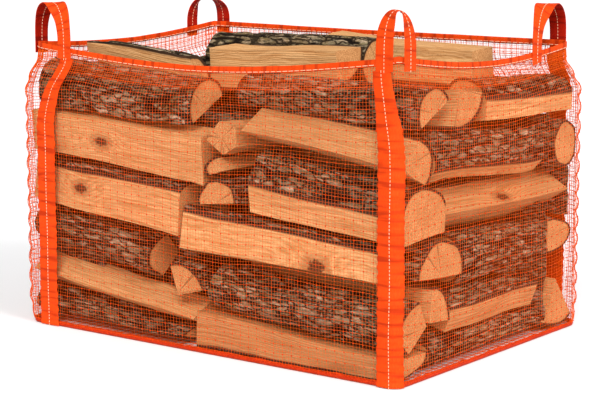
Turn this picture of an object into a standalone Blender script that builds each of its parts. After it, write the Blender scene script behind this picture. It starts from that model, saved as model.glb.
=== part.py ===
"""A net bag of split firewood: four webbing handles on an open-topped net, filled with logs that lie
crosswise in layers. Metres, +Z up. The origin is on the ground under the middle of the bag, +X runs along
the long side and -Y is the long front side."""

from math import cos, pi, radians, sin, sqrt
from typing import NamedTuple

import bmesh
import bpy
from mathutils import Vector

# The bag
BAG_LENGTH = 0.720
BAG_DEPTH = 0.520
RIM_HEIGHT = 0.450
SHOULDER_HEIGHT = 0.372  # above it the net leans in towards the rim
NECK_HEIGHT = 0.430  # from here up it stands straight again
NET_THICKNESS = 0.0015
CORNER_RADIUS = 0.022
FLOOR_CHAMFER = 0.006
CLEARANCE = 0.0004
LOW_LEVELS = (0.0, FLOOR_CHAMFER, 0.190, SHOULDER_HEIGHT)
HIGH_LEVELS = 4

# The hem and the webbing
HEM_HEIGHT = 0.010
HEM_THICKNESS = 0.0030
TAPE_THICKNESS = 0.0014
HANDLE_WIDTH = 0.028
STRAP_WIDTH = 0.038
HANDLE_TOP = 0.511
LEG_OVERLAP = 0.018  # how far a handle's leg reaches below the rim
STRAP_GAP = 0.0025  # between a leg's end and the strap
STRAP_LIFT = 0.0011  # of the strap off the net
STRAP_DRIFT_HEIGHT = 0.11  # below the leg, over which the strap reaches its own place and width
STRAP_PIECES = 6
LOOP_STEPS = 14

# The logs
MM = 0.001
STATIONS = 5
ARC_STEP = radians(24)
SHARP_ANGLE = radians(35)

# Corners of the net seen from above, anticlockwise from the front right one: the upright walls, then the rim
WALL_X = BAG_LENGTH / 2 - TAPE_THICKNESS - STRAP_LIFT
WALL_Y = BAG_DEPTH / 2 - TAPE_THICKNESS - STRAP_LIFT
WALL_CORNERS = ((WALL_X, -WALL_Y), (WALL_X, WALL_Y), (-WALL_X, WALL_Y), (-WALL_X, -WALL_Y))
RIM_CORNERS = ((0.354, -0.255), (0.352, 0.222), (-0.352, 0.202), (-0.340, -0.252))
RIM_LIFT = (0.000, 0.003, 0.018, 0.000)  # how much the handle lifts the rim at each corner
RIM_SAG = (0.018, 0.001, 0.012, 0.025)  # of the side that starts at each corner


class Log(NamedTuple):
    """One log: its shape and the way its bark faces, then the room it takes, in millimetres."""

    name: str
    shape: str
    turn: float  # degrees clockwise from bark up, seen from the right end or from the front
    axis: str  # the direction it lies in
    run: tuple  # where it starts and ends along that axis
    across: tuple  # its two sides
    start: tuple  # bottom and top at its start
    end: tuple  # bottom and top at its end


LOGS = (
    # The long front side, left of the middle gap, from the top down
    Log("front_left_log_1", "half", -28, "x", (-336, -22), (-246, -166), (350, 424), (336, 402)),
    Log("front_left_log_2", "slab", 82, "x", (-349, 2), (-249, -168), (278, 347), (250, 333)),
    Log("front_left_log_3", "plank", -4, "x", (-350, -44), (-250, -170), (202, 274), (170, 247)),
    Log("front_left_log_4", "third", -84, "x", (-348, -108), (-248, -168), (125, 198), (95, 166)),
    Log("front_left_log_5", "slab", 128, "x", (-350, -14), (-250, -172), (66, 122), (30, 70)),
    Log("front_left_log_6", "half", -80, "x", (-350, -40), (-247, -166), (6, 62), (6, 28)),
    # The long front side, right of the gap
    Log("front_right_log_1", "half", -30, "x", (34, 350), (-206, -126), (368, 414), (348, 404)),
    Log("front_right_log_2", "quarter", 84, "x", (76, 350), (-247, -162), (312, 365), (272, 342)),
    Log("front_right_log_3", "flitch", -4, "x", (84, 349), (-246, -132), (216, 306), (192, 267)),
    Log("front_right_log_4", "plank", 8, "x", (-40, 318), (-250, -206), (140, 216), (132, 188)),
    Log("front_right_log_5", "third", -76, "x", (12, 347), (-247, -172), (64, 134), (38, 108)),
    Log("front_right_log_6", "quarter", 140, "x", (-10, 345), (-248, -166), (6, 60), (6, 38)),
    # Logs that lie the other way, whose ends show in the gap
    Log("gap_log_1", "block", 10, "y", (-246, 80), (10, 70), (297, 347), (292, 341)),
    Log("gap_log_2", "quarter", -70, "y", (-244, 70), (5, 46), (264, 293), (258, 290)),
    Log("gap_log_3", "half", -6, "y", (-248, 82), (-8, 66), (221, 262), (196, 255)),
    Log("gap_log_4", "quarter", 30, "y", (-248, 78), (-62, 6), (80, 128), (80, 134)),
    # The short right side, from the top down
    Log("right_side_log_1", "flitch", -4, "y", (-24, 232), (272, 351), (340, 408), (338, 396)),
    Log("right_side_log_2", "flitch", 40, "y", (-156, 152), (274, 350), (269, 336), (257, 334)),
    Log("right_side_log_3", "quarter", -88, "y", (-126, 226), (270, 351), (190, 258), (186, 254)),
    Log("right_side_log_4", "round", 40, "y", (-80, 164), (276, 350), (112, 186), (106, 182)),
    Log("right_side_log_5", "slab", 12, "y", (-114, 134), (272, 351), (52, 108), (50, 104)),
    Log("right_side_log_6", "half", 66, "y", (-160, 158), (270, 349), (6, 49), (6, 47)),
    Log("corner_log_1", "half", 4, "x", (60, 350), (-202, -84), (140, 192), (132, 188)),
    Log("corner_log_2", "quarter", 52, "x", (30, 349), (-170, -116), (74, 134), (72, 130)),
    # The long back side
    Log("back_right_log_1", "half", 24, "x", (-2, 266), (176, 240), (338, 398), (338, 392)),
    Log("back_right_log_2", "round", 0, "x", (20, 350), (172, 250), (258, 334), (259, 335)),
    Log("back_right_log_3", "slab", -84, "x", (-10, 262), (172, 249), (190, 254), (188, 254)),
    Log("back_right_log_4", "half", 90, "x", (-2, 346), (172, 250), (100, 186), (126, 182)),
    Log("back_right_log_5", "wedge", 176, "x", (14, 348), (164, 249), (6, 96), (6, 80)),
    Log("back_left_log_1", "half", 70, "x", (-342, -12), (174, 238), (334, 402), (330, 394)),
    Log("back_left_log_2", "slab", -92, "x", (-349, -14), (172, 250), (236, 328), (232, 324)),
    Log("back_left_log_3", "round", 30, "x", (-348, -22), (170, 249), (122, 232), (124, 228)),
    Log("back_left_log_4", "quarter", 52, "x", (-349, -8), (170, 249), (6, 118), (6, 120)),
    # The short left side
    Log("left_side_log_1", "half", -48, "y", (-160, 168), (-350, -272), (346, 414), (342, 408)),
    Log("left_side_log_2", "slab", -90, "y", (-162, 164), (-350, -270), (266, 342), (270, 338)),
    Log("left_side_log_3", "round", 0, "y", (-164, 160), (-350, -268), (188, 262), (186, 266)),
    Log("left_side_log_4", "quarter", 92, "y", (-162, 164), (-350, -268), (104, 184), (98, 182)),
    Log("left_side_log_5", "half", -74, "y", (-160, 160), (-349, -266), (6, 98), (6, 94)),
    # The logs inside
    Log("middle_log_1", "half", 0, "y", (-158, 164), (-262, -4), (254, 346), (252, 342)),
    Log("middle_log_2", "round", 0, "y", (-160, 162), (-262, -14), (140, 250), (142, 248)),
    Log("middle_log_3", "half", 172, "y", (-160, 164), (-262, -68), (6, 126), (6, 130)),
    Log("middle_log_4", "half", 0, "y", (-126, 166), (78, 264), (196, 334), (194, 336)),
    Log("middle_log_5", "half", 180, "y", (-78, 160), (12, 262), (6, 188), (6, 186)),
    # The top layer, which shows in the bag's mouth
    Log("top_log_1", "quarter", 42, "x", (-314, -100), (-158, -98), (420, 446), (364, 437)),
    Log("top_log_2", "quarter", 134, "x", (-110, 134), (-96, -28), (376, 446), (386, 446)),
    Log("top_log_3", "round", 0, "x", (-180, 130), (-24, 60), (380, 458), (378, 460)),
    Log("top_log_4", "slab", 172, "x", (-14, 268), (68, 132), (384, 466), (372, 443)),
    Log("top_log_5", "slab", 84, "x", (-262, 40), (134, 172), (364, 428), (366, 444)),
    Log("top_log_6", "quarter", 148, "x", (22, 350), (-114, -34), (344, 370), (342, 398)),
    Log("top_log_7", "half", 8, "y", (-92, 130), (-268, -184), (350, 420), (348, 414)),
)

COLOURS = {
    "net": (0.780, 0.110, 0.020),
    "hem": (0.800, 0.130, 0.030),
    "webbing": (0.850, 0.120, 0.020),
    "bark": (0.130, 0.075, 0.045),
    "wood": (0.560, 0.300, 0.120),
}
ROUGHNESS = {"net": 0.55, "hem": 0.65, "webbing": 0.65, "bark": 0.95, "wood": 0.80}
BARKY_SHAPES = ("round", "half")


def clear_scene():
    """Removes what the file opened with."""
    for obj in list(bpy.data.objects):
        bpy.data.objects.remove(obj)


def finish_of(name):
    """The Principled material of that finish, made the first time it is asked for."""
    material = bpy.data.materials.get(name)
    if material is None:
        material = bpy.data.materials.new(name)
        material.use_nodes = True
        shader = material.node_tree.nodes["Principled BSDF"]
        shader.inputs["Base Color"].default_value = (*COLOURS[name], 1.0)
        shader.inputs["Roughness"].default_value = ROUGHNESS[name]
        shader.inputs["Metallic"].default_value = 0.0
    return material


def add_object(name, maker, finish, *what):
    """An object with the mesh that maker puts in a bmesh, facing out and smooth but for its sharp edges."""
    bm = bmesh.new()
    maker(bm, *what)
    bmesh.ops.recalc_face_normals(bm, faces=bm.faces)
    mesh = bpy.data.meshes.new(name)
    bm.to_mesh(mesh)
    bm.free()
    mesh.shade_smooth()
    mesh.set_sharp_from_angle(angle=SHARP_ANGLE)
    mesh.materials.append(finish_of(finish))
    obj = bpy.data.objects.new(name, mesh)
    bpy.context.scene.collection.objects.link(obj)
    return obj


def add_loft(bm, rings, closed=False):
    """Faces between rings of points that have the same count. An open loft is capped at both ends."""
    made = [[bm.verts.new(point) for point in ring] for ring in rings]
    pairs = list(zip(made, made[1:]))
    if closed:
        pairs.append((made[-1], made[0]))
    count = len(made[0])
    for lower, upper in pairs:
        for i in range(count):
            j = (i + 1) % count
            bm.faces.new((lower[i], lower[j], upper[j], upper[i]))
    if not closed:
        bm.faces.new(made[0][::-1])
        bm.faces.new(made[-1])


def smooth_step(value):
    """0 below 0, 1 above 1, and an even S between them."""
    value = min(max(value, 0.0), 1.0)
    return value * value * (3.0 - 2.0 * value)


def blend(first, second, share):
    """The point that lies that share of the way from first to second."""
    return tuple(a + (b - a) * share for a, b in zip(first, second))


def corners_at(height):
    """The net's four corners at a height: the upright walls lean in towards the rim above the shoulder."""
    share = smooth_step((height - SHOULDER_HEIGHT) / (NECK_HEIGHT - SHOULDER_HEIGHT))
    return [Vector(blend(wall, rim, share)) for wall, rim in zip(WALL_CORNERS, RIM_CORNERS)]


def wall_point(side, along, height, offset=0.0):
    """A point on the net's outer face. side is 0 right, 1 back, 2 left or 3 front, and along runs from 0 at
    its first corner's middle to 1 at its last. offset is how far it stands out from the net."""
    corners = corners_at(height)
    first, last = corners[side], corners[(side + 1) % 4]
    before, after = corners[side - 1], corners[(side + 2) % 4]
    direction = (last - first).normalized()
    outward = Vector((direction.y, -direction.x))
    length = (last - first).length
    place = along * length
    point = first + direction * place + outward * offset
    if place < CORNER_RADIUS:
        point = round_corner(before, first, last, place, offset)
    elif length - place < CORNER_RADIUS:
        point = round_corner(first, last, after, place - length, offset)
    return point


def round_corner(before, corner, after, place, offset):
    """The point on a corner's arc: place runs from minus to plus its radius, through 0 on the bisector."""
    inward = ((before - corner).normalized() + (after - corner).normalized()).normalized()
    centre = corner + inward * CORNER_RADIUS * sqrt(2.0)
    to_corner = (corner - centre).normalized()
    angle = place / CORNER_RADIUS * pi / 4
    turned = Vector(
        (
            to_corner.x * cos(angle) - to_corner.y * sin(angle),
            to_corner.x * sin(angle) + to_corner.y * cos(angle),
        )
    )
    return centre + turned * (CORNER_RADIUS + offset)


def rim_height(side, along):
    """The height of the rim's upper edge: it sags between its corners."""
    lift = RIM_LIFT[side] + (RIM_LIFT[(side + 1) % 4] - RIM_LIFT[side]) * along
    return RIM_HEIGHT + lift - RIM_SAG[side] * sin(pi * along)


def stations_round():
    """Places round the bag as (side, along), closer together at the corners."""
    places = []
    for side in range(4):
        length = (Vector(WALL_CORNERS[(side + 1) % 4]) - Vector(WALL_CORNERS[side])).length
        corner = CORNER_RADIUS / length
        places += [(side, 0.0), (side, corner * 0.5), (side, corner)]
        steps = round(length / 0.07)
        places += [(side, corner + (1 - 2 * corner) * i / steps) for i in range(1, steps + 1)]
        places.append((side, 1 - corner * 0.5))
    return places


def wall_ring(heights, offset):
    """A ring of points round the bag, at the height that heights gives for each place."""
    ring = []
    for side, along in stations_round():
        height = heights(side, along)
        point = wall_point(side, along, height, offset)
        ring.append((point.x, point.y, height))
    return ring


def level_height(level, side, along):
    """The height of one of the net's rings, from the floor's edge (0) up to the hem (the last)."""
    top = rim_height(side, along) - HEM_HEIGHT - CLEARANCE
    if level < len(LOW_LEVELS):
        return LOW_LEVELS[level]
    share = (level - len(LOW_LEVELS) + 1) / HIGH_LEVELS
    return LOW_LEVELS[-1] + (top - LOW_LEVELS[-1]) * share


def net_rings(offset, floor):
    """The net's rings from its floor to the hem, for its outer or its inner face."""
    rings = []
    for level in range(len(LOW_LEVELS) + HIGH_LEVELS):

        def height(side, along, level=level):
            return max(level_height(level, side, along), floor)

        inset = FLOOR_CHAMFER * 0.8 if level == 0 else 0.0
        rings.append(wall_ring(height, offset - inset))
    return rings


def make_net(bm):
    """The net as a thin bag with an open top."""
    outer = net_rings(0.0, 0.0)
    inner = net_rings(-NET_THICKNESS, NET_THICKNESS)
    add_loft(bm, outer + inner[::-1])


def make_hem(bm):
    """The hem: a flat band that stands on the net's upper edge, all round."""

    def lower_edge(side, along):
        return rim_height(side, along) - HEM_HEIGHT

    inner = -HEM_THICKNESS / 2 - NET_THICKNESS / 2
    outer = HEM_THICKNESS / 2 - NET_THICKNESS / 2
    edges = ((lower_edge, inner), (lower_edge, outer), (rim_height, outer), (rim_height, inner))
    add_loft(bm, [wall_ring(height, offset) for height, offset in edges], closed=True)


def add_tape(bm, path, width, directions):
    """A flat tape along path, with its width along the direction given at each point."""
    rings = []
    for i, (point, direction) in enumerate(zip(path, directions)):
        along = (path[min(i + 1, len(path) - 1)] - path[max(i - 1, 0)]).normalized()
        across = (direction - along * direction.dot(along)).normalized() * width / 2
        depth = along.cross(across).normalized() * TAPE_THICKNESS / 2
        rings.append(
            [point - across - depth, point + across - depth, point + across + depth, point - across + depth]
        )
    add_loft(bm, rings)


def facing(side):
    """The way a side faces at the rim."""
    run = (Vector(RIM_CORNERS[(side + 1) % 4]) - Vector(RIM_CORNERS[side])).normalized()
    return Vector((run.y, -run.x, 0.0))


def place_on_side(side, distance):
    """The along value at a distance from a side's first corner, or from its last one if it is negative."""
    length = (Vector(RIM_CORNERS[(side + 1) % 4]) - Vector(RIM_CORNERS[side])).length
    return distance / length if distance > 0 else 1 + distance / length


class Handle(NamedTuple):
    """A handle that bridges a corner, from one side to the next, with each leg's distance from the corner."""

    name: str
    long_side: int
    long_distance: float
    short_side: int
    short_distance: float
    strap_distance: float  # of the strap that runs down the long side, from the same corner


HANDLES = (
    Handle("front", 3, -0.024, 0, 0.020, -0.012),
    Handle("right", 1, 0.024, 0, -0.112, 0.044),
    Handle("back", 1, -0.020, 2, 0.058, -0.044),
    Handle("left", 3, 0.072, 2, -0.022, 0.044),
)
LEG_OFFSET = HEM_THICKNESS / 2 - NET_THICKNESS / 2 + 2 * CLEARANCE + TAPE_THICKNESS / 2


def leg_point(side, distance, height):
    """The middle of a handle's leg, outside the hem."""
    along = place_on_side(side, distance)
    point = wall_point(side, along, height, LEG_OFFSET)
    return Vector((point.x, point.y, height))


def make_handle(bm, handle):
    """A loop of tape: up one leg, over and down the other, turning with the corner."""
    out_a = facing(handle.long_side)
    out_b = facing(handle.short_side)
    rim_a = rim_height(handle.long_side, place_on_side(handle.long_side, handle.long_distance))
    rim_b = rim_height(handle.short_side, place_on_side(handle.short_side, handle.short_distance))
    foot_a = leg_point(handle.long_side, handle.long_distance, rim_a - LEG_OVERLAP)
    foot_b = leg_point(handle.short_side, handle.short_distance, rim_b - LEG_OVERLAP)
    top_a = leg_point(handle.long_side, handle.long_distance, rim_a)
    top_b = leg_point(handle.short_side, handle.short_distance, rim_b)
    up = Vector((0.0, 0.0, 1.0))
    across_a, across_b = up.cross(out_a), (-up).cross(out_b)
    path, directions = [foot_a, top_a], [across_a, across_a]
    for i in range(1, LOOP_STEPS):
        angle = pi * i / LOOP_STEPS
        base = top_a.lerp(top_b, (1 - cos(angle)) / 2)
        rise = sin(angle) ** 0.7
        path.append(base.lerp(Vector((base.x, base.y, HANDLE_TOP - TAPE_THICKNESS)), rise))
        turn = smooth_step(i / LOOP_STEPS) * pi / 2
        directions.append(across_a * cos(turn) + across_b * sin(turn))
    path += [top_b, foot_b]
    directions += [across_b, across_b]
    add_tape(bm, path, HANDLE_WIDTH, directions)


def make_strap(bm, handle):
    """The webbing that goes on down the long side from the handle's leg to the floor."""
    side = handle.long_side
    along = place_on_side(side, handle.long_distance)
    top = rim_height(side, along) - LEG_OVERLAP - STRAP_GAP
    heights = [level_height(level, side, along) for level in range(1, len(LOW_LEVELS) + HIGH_LEVELS)]
    heights = [height for height in heights if height < top - STRAP_GAP] + [top]
    rings = []
    for height in heights:
        share = smooth_step((top - height) / STRAP_DRIFT_HEIGHT)
        middle = handle.long_distance + (handle.strap_distance - handle.long_distance) * share
        width = HANDLE_WIDTH + (STRAP_WIDTH - HANDLE_WIDTH) * share
        rings.append(strap_ring(side, middle, width, height))
    add_loft(bm, rings)


def strap_ring(side, middle, width, height):
    """The strap's outline at a height, following the corner where it crosses one."""
    faces = []
    for offset in (STRAP_LIFT, STRAP_LIFT + TAPE_THICKNESS):
        distances = [middle + width * (i / STRAP_PIECES - 0.5) for i in range(STRAP_PIECES + 1)]
        faces.append([strap_point(side, distance, middle, height, offset) for distance in distances])
    return faces[0] + faces[1][::-1]


def strap_point(side, distance, middle, height, offset):
    """A point of the strap at a distance from the corner, on the next side where that passes the corner."""
    if middle < 0 < distance:
        spot = wall_point((side + 1) % 4, place_from_corner(side + 1, distance, height), height, offset)
    elif middle < 0:
        spot = wall_point(side, 1 - place_from_corner(side, -distance, height), height, offset)
    else:
        spot = wall_point(side, place_from_corner(side, distance, height), height, offset)
    return (spot.x, spot.y, height)


def place_from_corner(side, distance, height):
    """How far along a side that length of tape reaches from the middle of its corner."""
    corners = corners_at(height)
    length = (corners[(side + 1) % 4] - corners[side % 4]).length
    arc = CORNER_RADIUS * pi / 4
    if distance < arc:
        return distance / arc * CORNER_RADIUS / length
    return (CORNER_RADIUS + distance - arc) / length


def arc_points(spread):
    """Points on a round log's bark, from one side to the other, as (right, up)."""
    steps = max(3, round(spread / ARC_STEP))
    angles = [spread * (i / steps - 0.5) for i in range(steps + 1)]
    return [(sin(angle), cos(angle)) for angle in angles]


def outline(shape, turn, lobes):
    """A log's end seen from the right or from the front, turned, as points from 0 to 1 each way."""
    if shape == "round":
        points = arc_points(2 * pi)[:-1]
    elif shape == "half":
        points = arc_points(radians(188))
    elif shape == "quarter":
        points = arc_points(radians(96)) + [(0.06, -0.04)]
    elif shape == "third":
        points = arc_points(radians(128)) + [(0.04, -0.02)]
    elif shape == "wedge":
        points = arc_points(radians(62)) + [(0.05, -0.10)]
    elif shape == "slab":
        points = arc_points(radians(84)) + [(0.58, -0.12), (-0.62, -0.02)]
    elif shape == "flitch":
        points = arc_points(radians(128)) + [(0.80, -0.25), (-0.80, -0.25)]
    elif shape == "plank":
        points = arc_points(radians(60)) + [(0.50, -0.16), (-0.66, -0.12)]
    else:
        points = [(-0.9, -0.3), (-0.3, 0.8), (0.7, 0.7), (0.95, -0.2), (0.2, -0.8)]
    # Trees aren't quite round.
    points = [(u * (1 + lobes * sin(5 * u + 3 * v)), v * (1 + lobes * cos(4 * v - 2 * u))) for u, v in points]
    turn = radians(turn)
    turned = [(u * cos(turn) + v * sin(turn), v * cos(turn) - u * sin(turn)) for u, v in points]
    low_u, high_u = min(u for u, _ in turned), max(u for u, _ in turned)
    low_v, high_v = min(v for _, v in turned), max(v for _, v in turned)
    return [((u - low_u) / (high_u - low_u), (v - low_v) / (high_v - low_v)) for u, v in turned]


def make_log(bm, log, number):
    """A log: its outline at five places along it, a little thinner at one end and slightly bent."""
    shape = outline(log.shape, log.turn, 0.03 + 0.02 * (number % 3))
    thin = 0.03 + 0.015 * (number % 4)
    slant = 3 * sin(1.7 * number)
    rings = []
    for i in range(STATIONS):
        share = i / (STATIONS - 1)
        bottom, top = blend(log.start, log.end, share)
        low, high = log.across
        # Thinner and bent within its room, so that it stays clear of its neighbours
        waist = 1 - thin * (share if number % 2 else 1 - share) - 0.02 * sin(pi * share)
        slack = (1 - waist) * (0.5 + 0.5 * sin(2.4 * share + number))
        ring = []
        for u, v in shape:
            right = low + (high - low) * (slack + u * waist)
            up = bottom + (top - bottom) * (v * waist)
            place = log.run[0] + (log.run[1] - log.run[0]) * share
            # The saw cuts aren't quite square.
            place += slant * (u - 0.5) * (share - 0.5)
            point = (place, right, up) if log.axis == "x" else (right, place, up)
            ring.append(tuple(value * MM for value in point))
        rings.append(ring)
    add_loft(bm, rings)


def main():
    """Builds the bag and then the logs in it."""
    clear_scene()
    bpy.context.scene.unit_settings.scale_length = 1.0
    add_object("net_bag", make_net, "net")
    add_object("rim_hem", make_hem, "hem")
    for handle in HANDLES:
        add_object(f"handle_{handle.name}", make_handle, "webbing", handle)
        add_object(f"strap_{handle.name}", make_strap, "webbing", handle)
    for number, log in enumerate(LOGS):
        finish = "bark" if log.shape in BARKY_SHAPES else "wood"
        add_object(log.name, make_log, finish, log, number)


main()
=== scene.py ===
"""A net bag of split firewood: an orange knitted net with a stitched hem, four webbing loops and straps,
filled with logs that show bark, split faces and sawn ends."""

import logging
from dataclasses import dataclass
from enum import Enum
from math import cos, pi, radians, sin, sqrt

import bpy
import numpy as np
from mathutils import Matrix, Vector


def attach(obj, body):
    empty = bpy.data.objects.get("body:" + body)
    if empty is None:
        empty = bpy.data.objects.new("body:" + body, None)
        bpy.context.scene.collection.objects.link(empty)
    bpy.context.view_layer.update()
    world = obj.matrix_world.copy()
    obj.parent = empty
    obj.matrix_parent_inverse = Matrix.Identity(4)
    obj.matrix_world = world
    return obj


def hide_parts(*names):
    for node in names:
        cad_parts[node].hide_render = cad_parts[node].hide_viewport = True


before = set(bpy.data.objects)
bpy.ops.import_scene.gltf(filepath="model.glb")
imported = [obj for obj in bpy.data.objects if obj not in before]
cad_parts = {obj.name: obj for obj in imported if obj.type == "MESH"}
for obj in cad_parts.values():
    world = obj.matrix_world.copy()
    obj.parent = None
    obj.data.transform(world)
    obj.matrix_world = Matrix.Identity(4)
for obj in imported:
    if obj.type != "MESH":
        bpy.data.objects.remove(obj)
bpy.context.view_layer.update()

MM = 0.001
HASH_MASK = 0xFFFFFFFF
FAR_AWAY = 9.0
SHARP_ANGLE = radians(48)
RING_PITCH = 0.0032
SEED_STEP = 0.37

Material, Object, Socket, Tree = bpy.types.Material, bpy.types.Object, bpy.types.NodeSocket, bpy.types.NodeTree
Value = float | tuple | Socket
Array = np.ndarray
Numbers = float | Array
FLOAT, VECTOR = "NodeSocketFloat", "NodeSocketVector"

logging.basicConfig(level=logging.INFO, format="%(levelname)s %(message)s")
log = logging.getLogger("firewood")


# Shared maths


def smooth_step(value: Numbers) -> Numbers:
    """Returns 0 below 0, 1 above 1 and an even S between them, for a number or an array."""
    value = np.clip(value, 0.0, 1.0)
    return value * value * (3.0 - 2.0 * value)


def lattice_noise(points: Array, seed: int) -> Array:
    """Smooth random values from -1 to 1 in space.

    Args:
        points: Positions in cells, one row each.
        seed: Chooses the pattern.

    Returns:
        One value for each point.
    """
    cell = np.floor(points).astype(np.int64)
    part = points - cell
    part = part * part * (3.0 - 2.0 * part)
    total = np.zeros(len(points))
    for corner in range(8):
        step = np.array([corner & 1, corner >> 1 & 1, corner >> 2 & 1])
        key = (cell + step) * np.array([73856093, 19349663, 83492791])
        key = (key[:, 0] ^ key[:, 1] ^ key[:, 2] ^ (seed * 2654435761)) & HASH_MASK
        key = ((key ^ (key >> 13)) * 1274126177) & HASH_MASK
        key = (key ^ (key >> 16)) & HASH_MASK
        weight = np.prod(np.where(step == 1, part, 1.0 - part), axis=1)
        total += weight * (key / (HASH_MASK / 2.0) - 1.0)
    return total


def noise_at(x: Numbers, y: Numbers, z: Numbers, seed: int) -> Array:
    """Returns lattice noise at places given in three parts, in the parts' own shape."""
    spots = np.stack(np.broadcast_arrays(*(np.asarray(part, float) for part in (x, y, z))), axis=-1)
    return lattice_noise(spots.reshape(-1, 3), seed).reshape(spots.shape[:-1])


def running_length(points: Array) -> Array:
    """Returns each point's way along a line of points."""
    return np.concatenate([[0], np.cumsum(np.linalg.norm(np.diff(points, axis=0), axis=1))])


def layered_noise(points: Array, seed: int, layers: int = 3) -> Array:
    """Lattice noise with finer and weaker layers added.

    Args:
        points: Positions in cells of the coarsest layer.
        seed: Chooses the pattern.
        layers: How many layers.

    Returns:
        One value for each point, about -1 to 1.
    """
    total = np.zeros(len(points))
    strength = 0.55
    for layer in range(layers):
        total += strength * lattice_noise(points * 2.03**layer, seed + 31 * layer)
        strength *= 0.55
    return total


# Building trees and meshes


class TreeMaker:
    """Adds nodes to one shader or geometry tree and joins them."""

    def __init__(self, tree: Tree) -> None:
        """Takes the tree that the nodes go in."""
        self.tree = tree

    def add(self, kind: str, inputs: dict | None = None, **settings) -> bpy.types.Node:
        """Adds a node.

        Args:
            kind: Blender's name of the node type.
            inputs: Values or sockets by the input's name or number.
            **settings: Properties of the node itself.

        Returns:
            The new node.
        """
        node = self.tree.nodes.new(kind)
        for name, value in settings.items():
            setattr(node, name, value)
        for key, value in (inputs or {}).items():
            if isinstance(value, Socket):
                self.tree.links.new(value, node.inputs[key])
            else:
                node.inputs[key].default_value = value
        return node

    def first(self, kind: str, inputs: dict | None = None, **settings) -> Socket:
        """Adds a node and returns its first output."""
        return self.add(kind, inputs, **settings).outputs[0]

    def math(self, operation: str, first: Value, second: Value = 0.0, clamp: bool = False) -> Socket:
        """Returns the result of one sum on numbers or sockets."""
        return self.first("ShaderNodeMath", {0: first, 1: second}, operation=operation, use_clamp=clamp)

    def times(self, first: Value, second: Value) -> Socket:
        """Returns the product of two numbers or sockets."""
        return self.math("MULTIPLY", first, second)

    def plus(self, first: Value, second: Value) -> Socket:
        """Returns the sum of two numbers or sockets."""
        return self.math("ADD", first, second)

    def rest(self, value: Value) -> Socket:
        """Returns what is left of 1."""
        return self.math("SUBTRACT", 1.0, value)

    def steps(self, value: Value, low: float, high: float) -> Socket:
        """Returns a smooth 0 to 1 as the value goes from low to high."""
        inputs = {"Value": value, "From Min": low, "From Max": high}
        return self.add("ShaderNodeMapRange", inputs, interpolation_type="SMOOTHSTEP").outputs["Result"]

    def noise(self, vector: Value, scale: float, detail: float = 3.0, rough: float = 0.55) -> Socket:
        """Returns noise from 0 to 1 at a place."""
        inputs = {"Vector": vector, "Scale": scale, "Detail": detail, "Roughness": rough}
        return self.first("ShaderNodeTexNoise", inputs)

    def stretch(self, vector: Value, scale: tuple) -> Socket:
        """Returns the vector with each part multiplied."""
        return self.first("ShaderNodeVectorMath", {0: vector, 1: scale}, operation="MULTIPLY")

    def shifted(self, vector: Value, shift: Value) -> Socket:
        """Returns the sum of two vectors."""
        return self.first("ShaderNodeVectorMath", {0: vector, 1: shift}, operation="ADD")

    def length(self, vector: Value) -> Socket:
        """Returns a vector's length."""
        return self.add("ShaderNodeVectorMath", {0: vector}, operation="LENGTH").outputs["Value"]

    def combined(self, x: Value, y: Value, z: Value = 0.0) -> Socket:
        """Returns a vector of three numbers or sockets."""
        return self.first("ShaderNodeCombineXYZ", {0: x, 1: y, 2: z})

    def parts(self, vector: Value) -> bpy.types.bpy_prop_collection:
        """Returns the three parts of a vector."""
        return self.add("ShaderNodeSeparateXYZ", {0: vector}).outputs

    def streaky(self, vector: Value, scale: tuple, detail: float = 3.0, rough: float = 0.55) -> Socket:
        """Returns noise from 0 to 1 with its own scale in each direction."""
        return self.noise(self.stretch(vector, scale), 1.0, detail, rough)

    def mix(self, share: Value, first: Value, second: Value) -> Socket:
        """Returns a colour between two, each given as a colour or a socket."""
        mixer = self.add("ShaderNodeMix", data_type="RGBA", clamp_factor=True)
        for index, value in ((0, share), (6, first), (7, second)):
            if isinstance(value, Socket):
                self.tree.links.new(value, mixer.inputs[index])
            else:
                mixer.inputs[index].default_value = value if index == 0 else (*value, 1.0)
        return mixer.outputs[2]

    def cover(self, under: Value, over: Value, mask: Value, share: float) -> Socket:
        """Returns a colour with part of another laid over it where the mask says."""
        return self.mix(self.times(mask, share), under, over)

    def attribute(self, name: str) -> bpy.types.Node:
        """Returns a node that reads the piece's own attribute."""
        return self.add("ShaderNodeAttribute", attribute_name=name)

    def join(self, socket: Socket, target: Socket) -> None:
        """Joins an output to an input."""
        self.tree.links.new(socket, target)


def add_sockets(tree: Tree, side: str, sockets: dict) -> None:
    """Adds named sockets to a tree's interface.

    Args:
        tree: The tree.
        side: INPUT or OUTPUT.
        sockets: The socket type by name, or the type and default value.
    """
    for name, kind in sockets.items():
        kind, value = kind if isinstance(kind, tuple) else (kind, None)
        socket = tree.interface.new_socket(name=name, in_out=side, socket_type=kind)
        if value is not None:
            socket.default_value = value


def mesh_object(name: str, points: Array, faces: list, edges: list | None = None) -> Object:
    """Makes a mesh object at the origin.

    Args:
        name: Its name.
        points: Positions in metres.
        faces: Corner numbers of each face.
        edges: Edges for a mesh of lines.

    Returns:
        The object, linked to the scene.
    """
    mesh = bpy.data.meshes.new(name)
    mesh.from_pydata(np.asarray(points).tolist(), edges or [], faces)
    mesh.update()
    obj = bpy.data.objects.new(name, mesh)
    bpy.context.scene.collection.objects.link(obj)
    return obj


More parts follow.
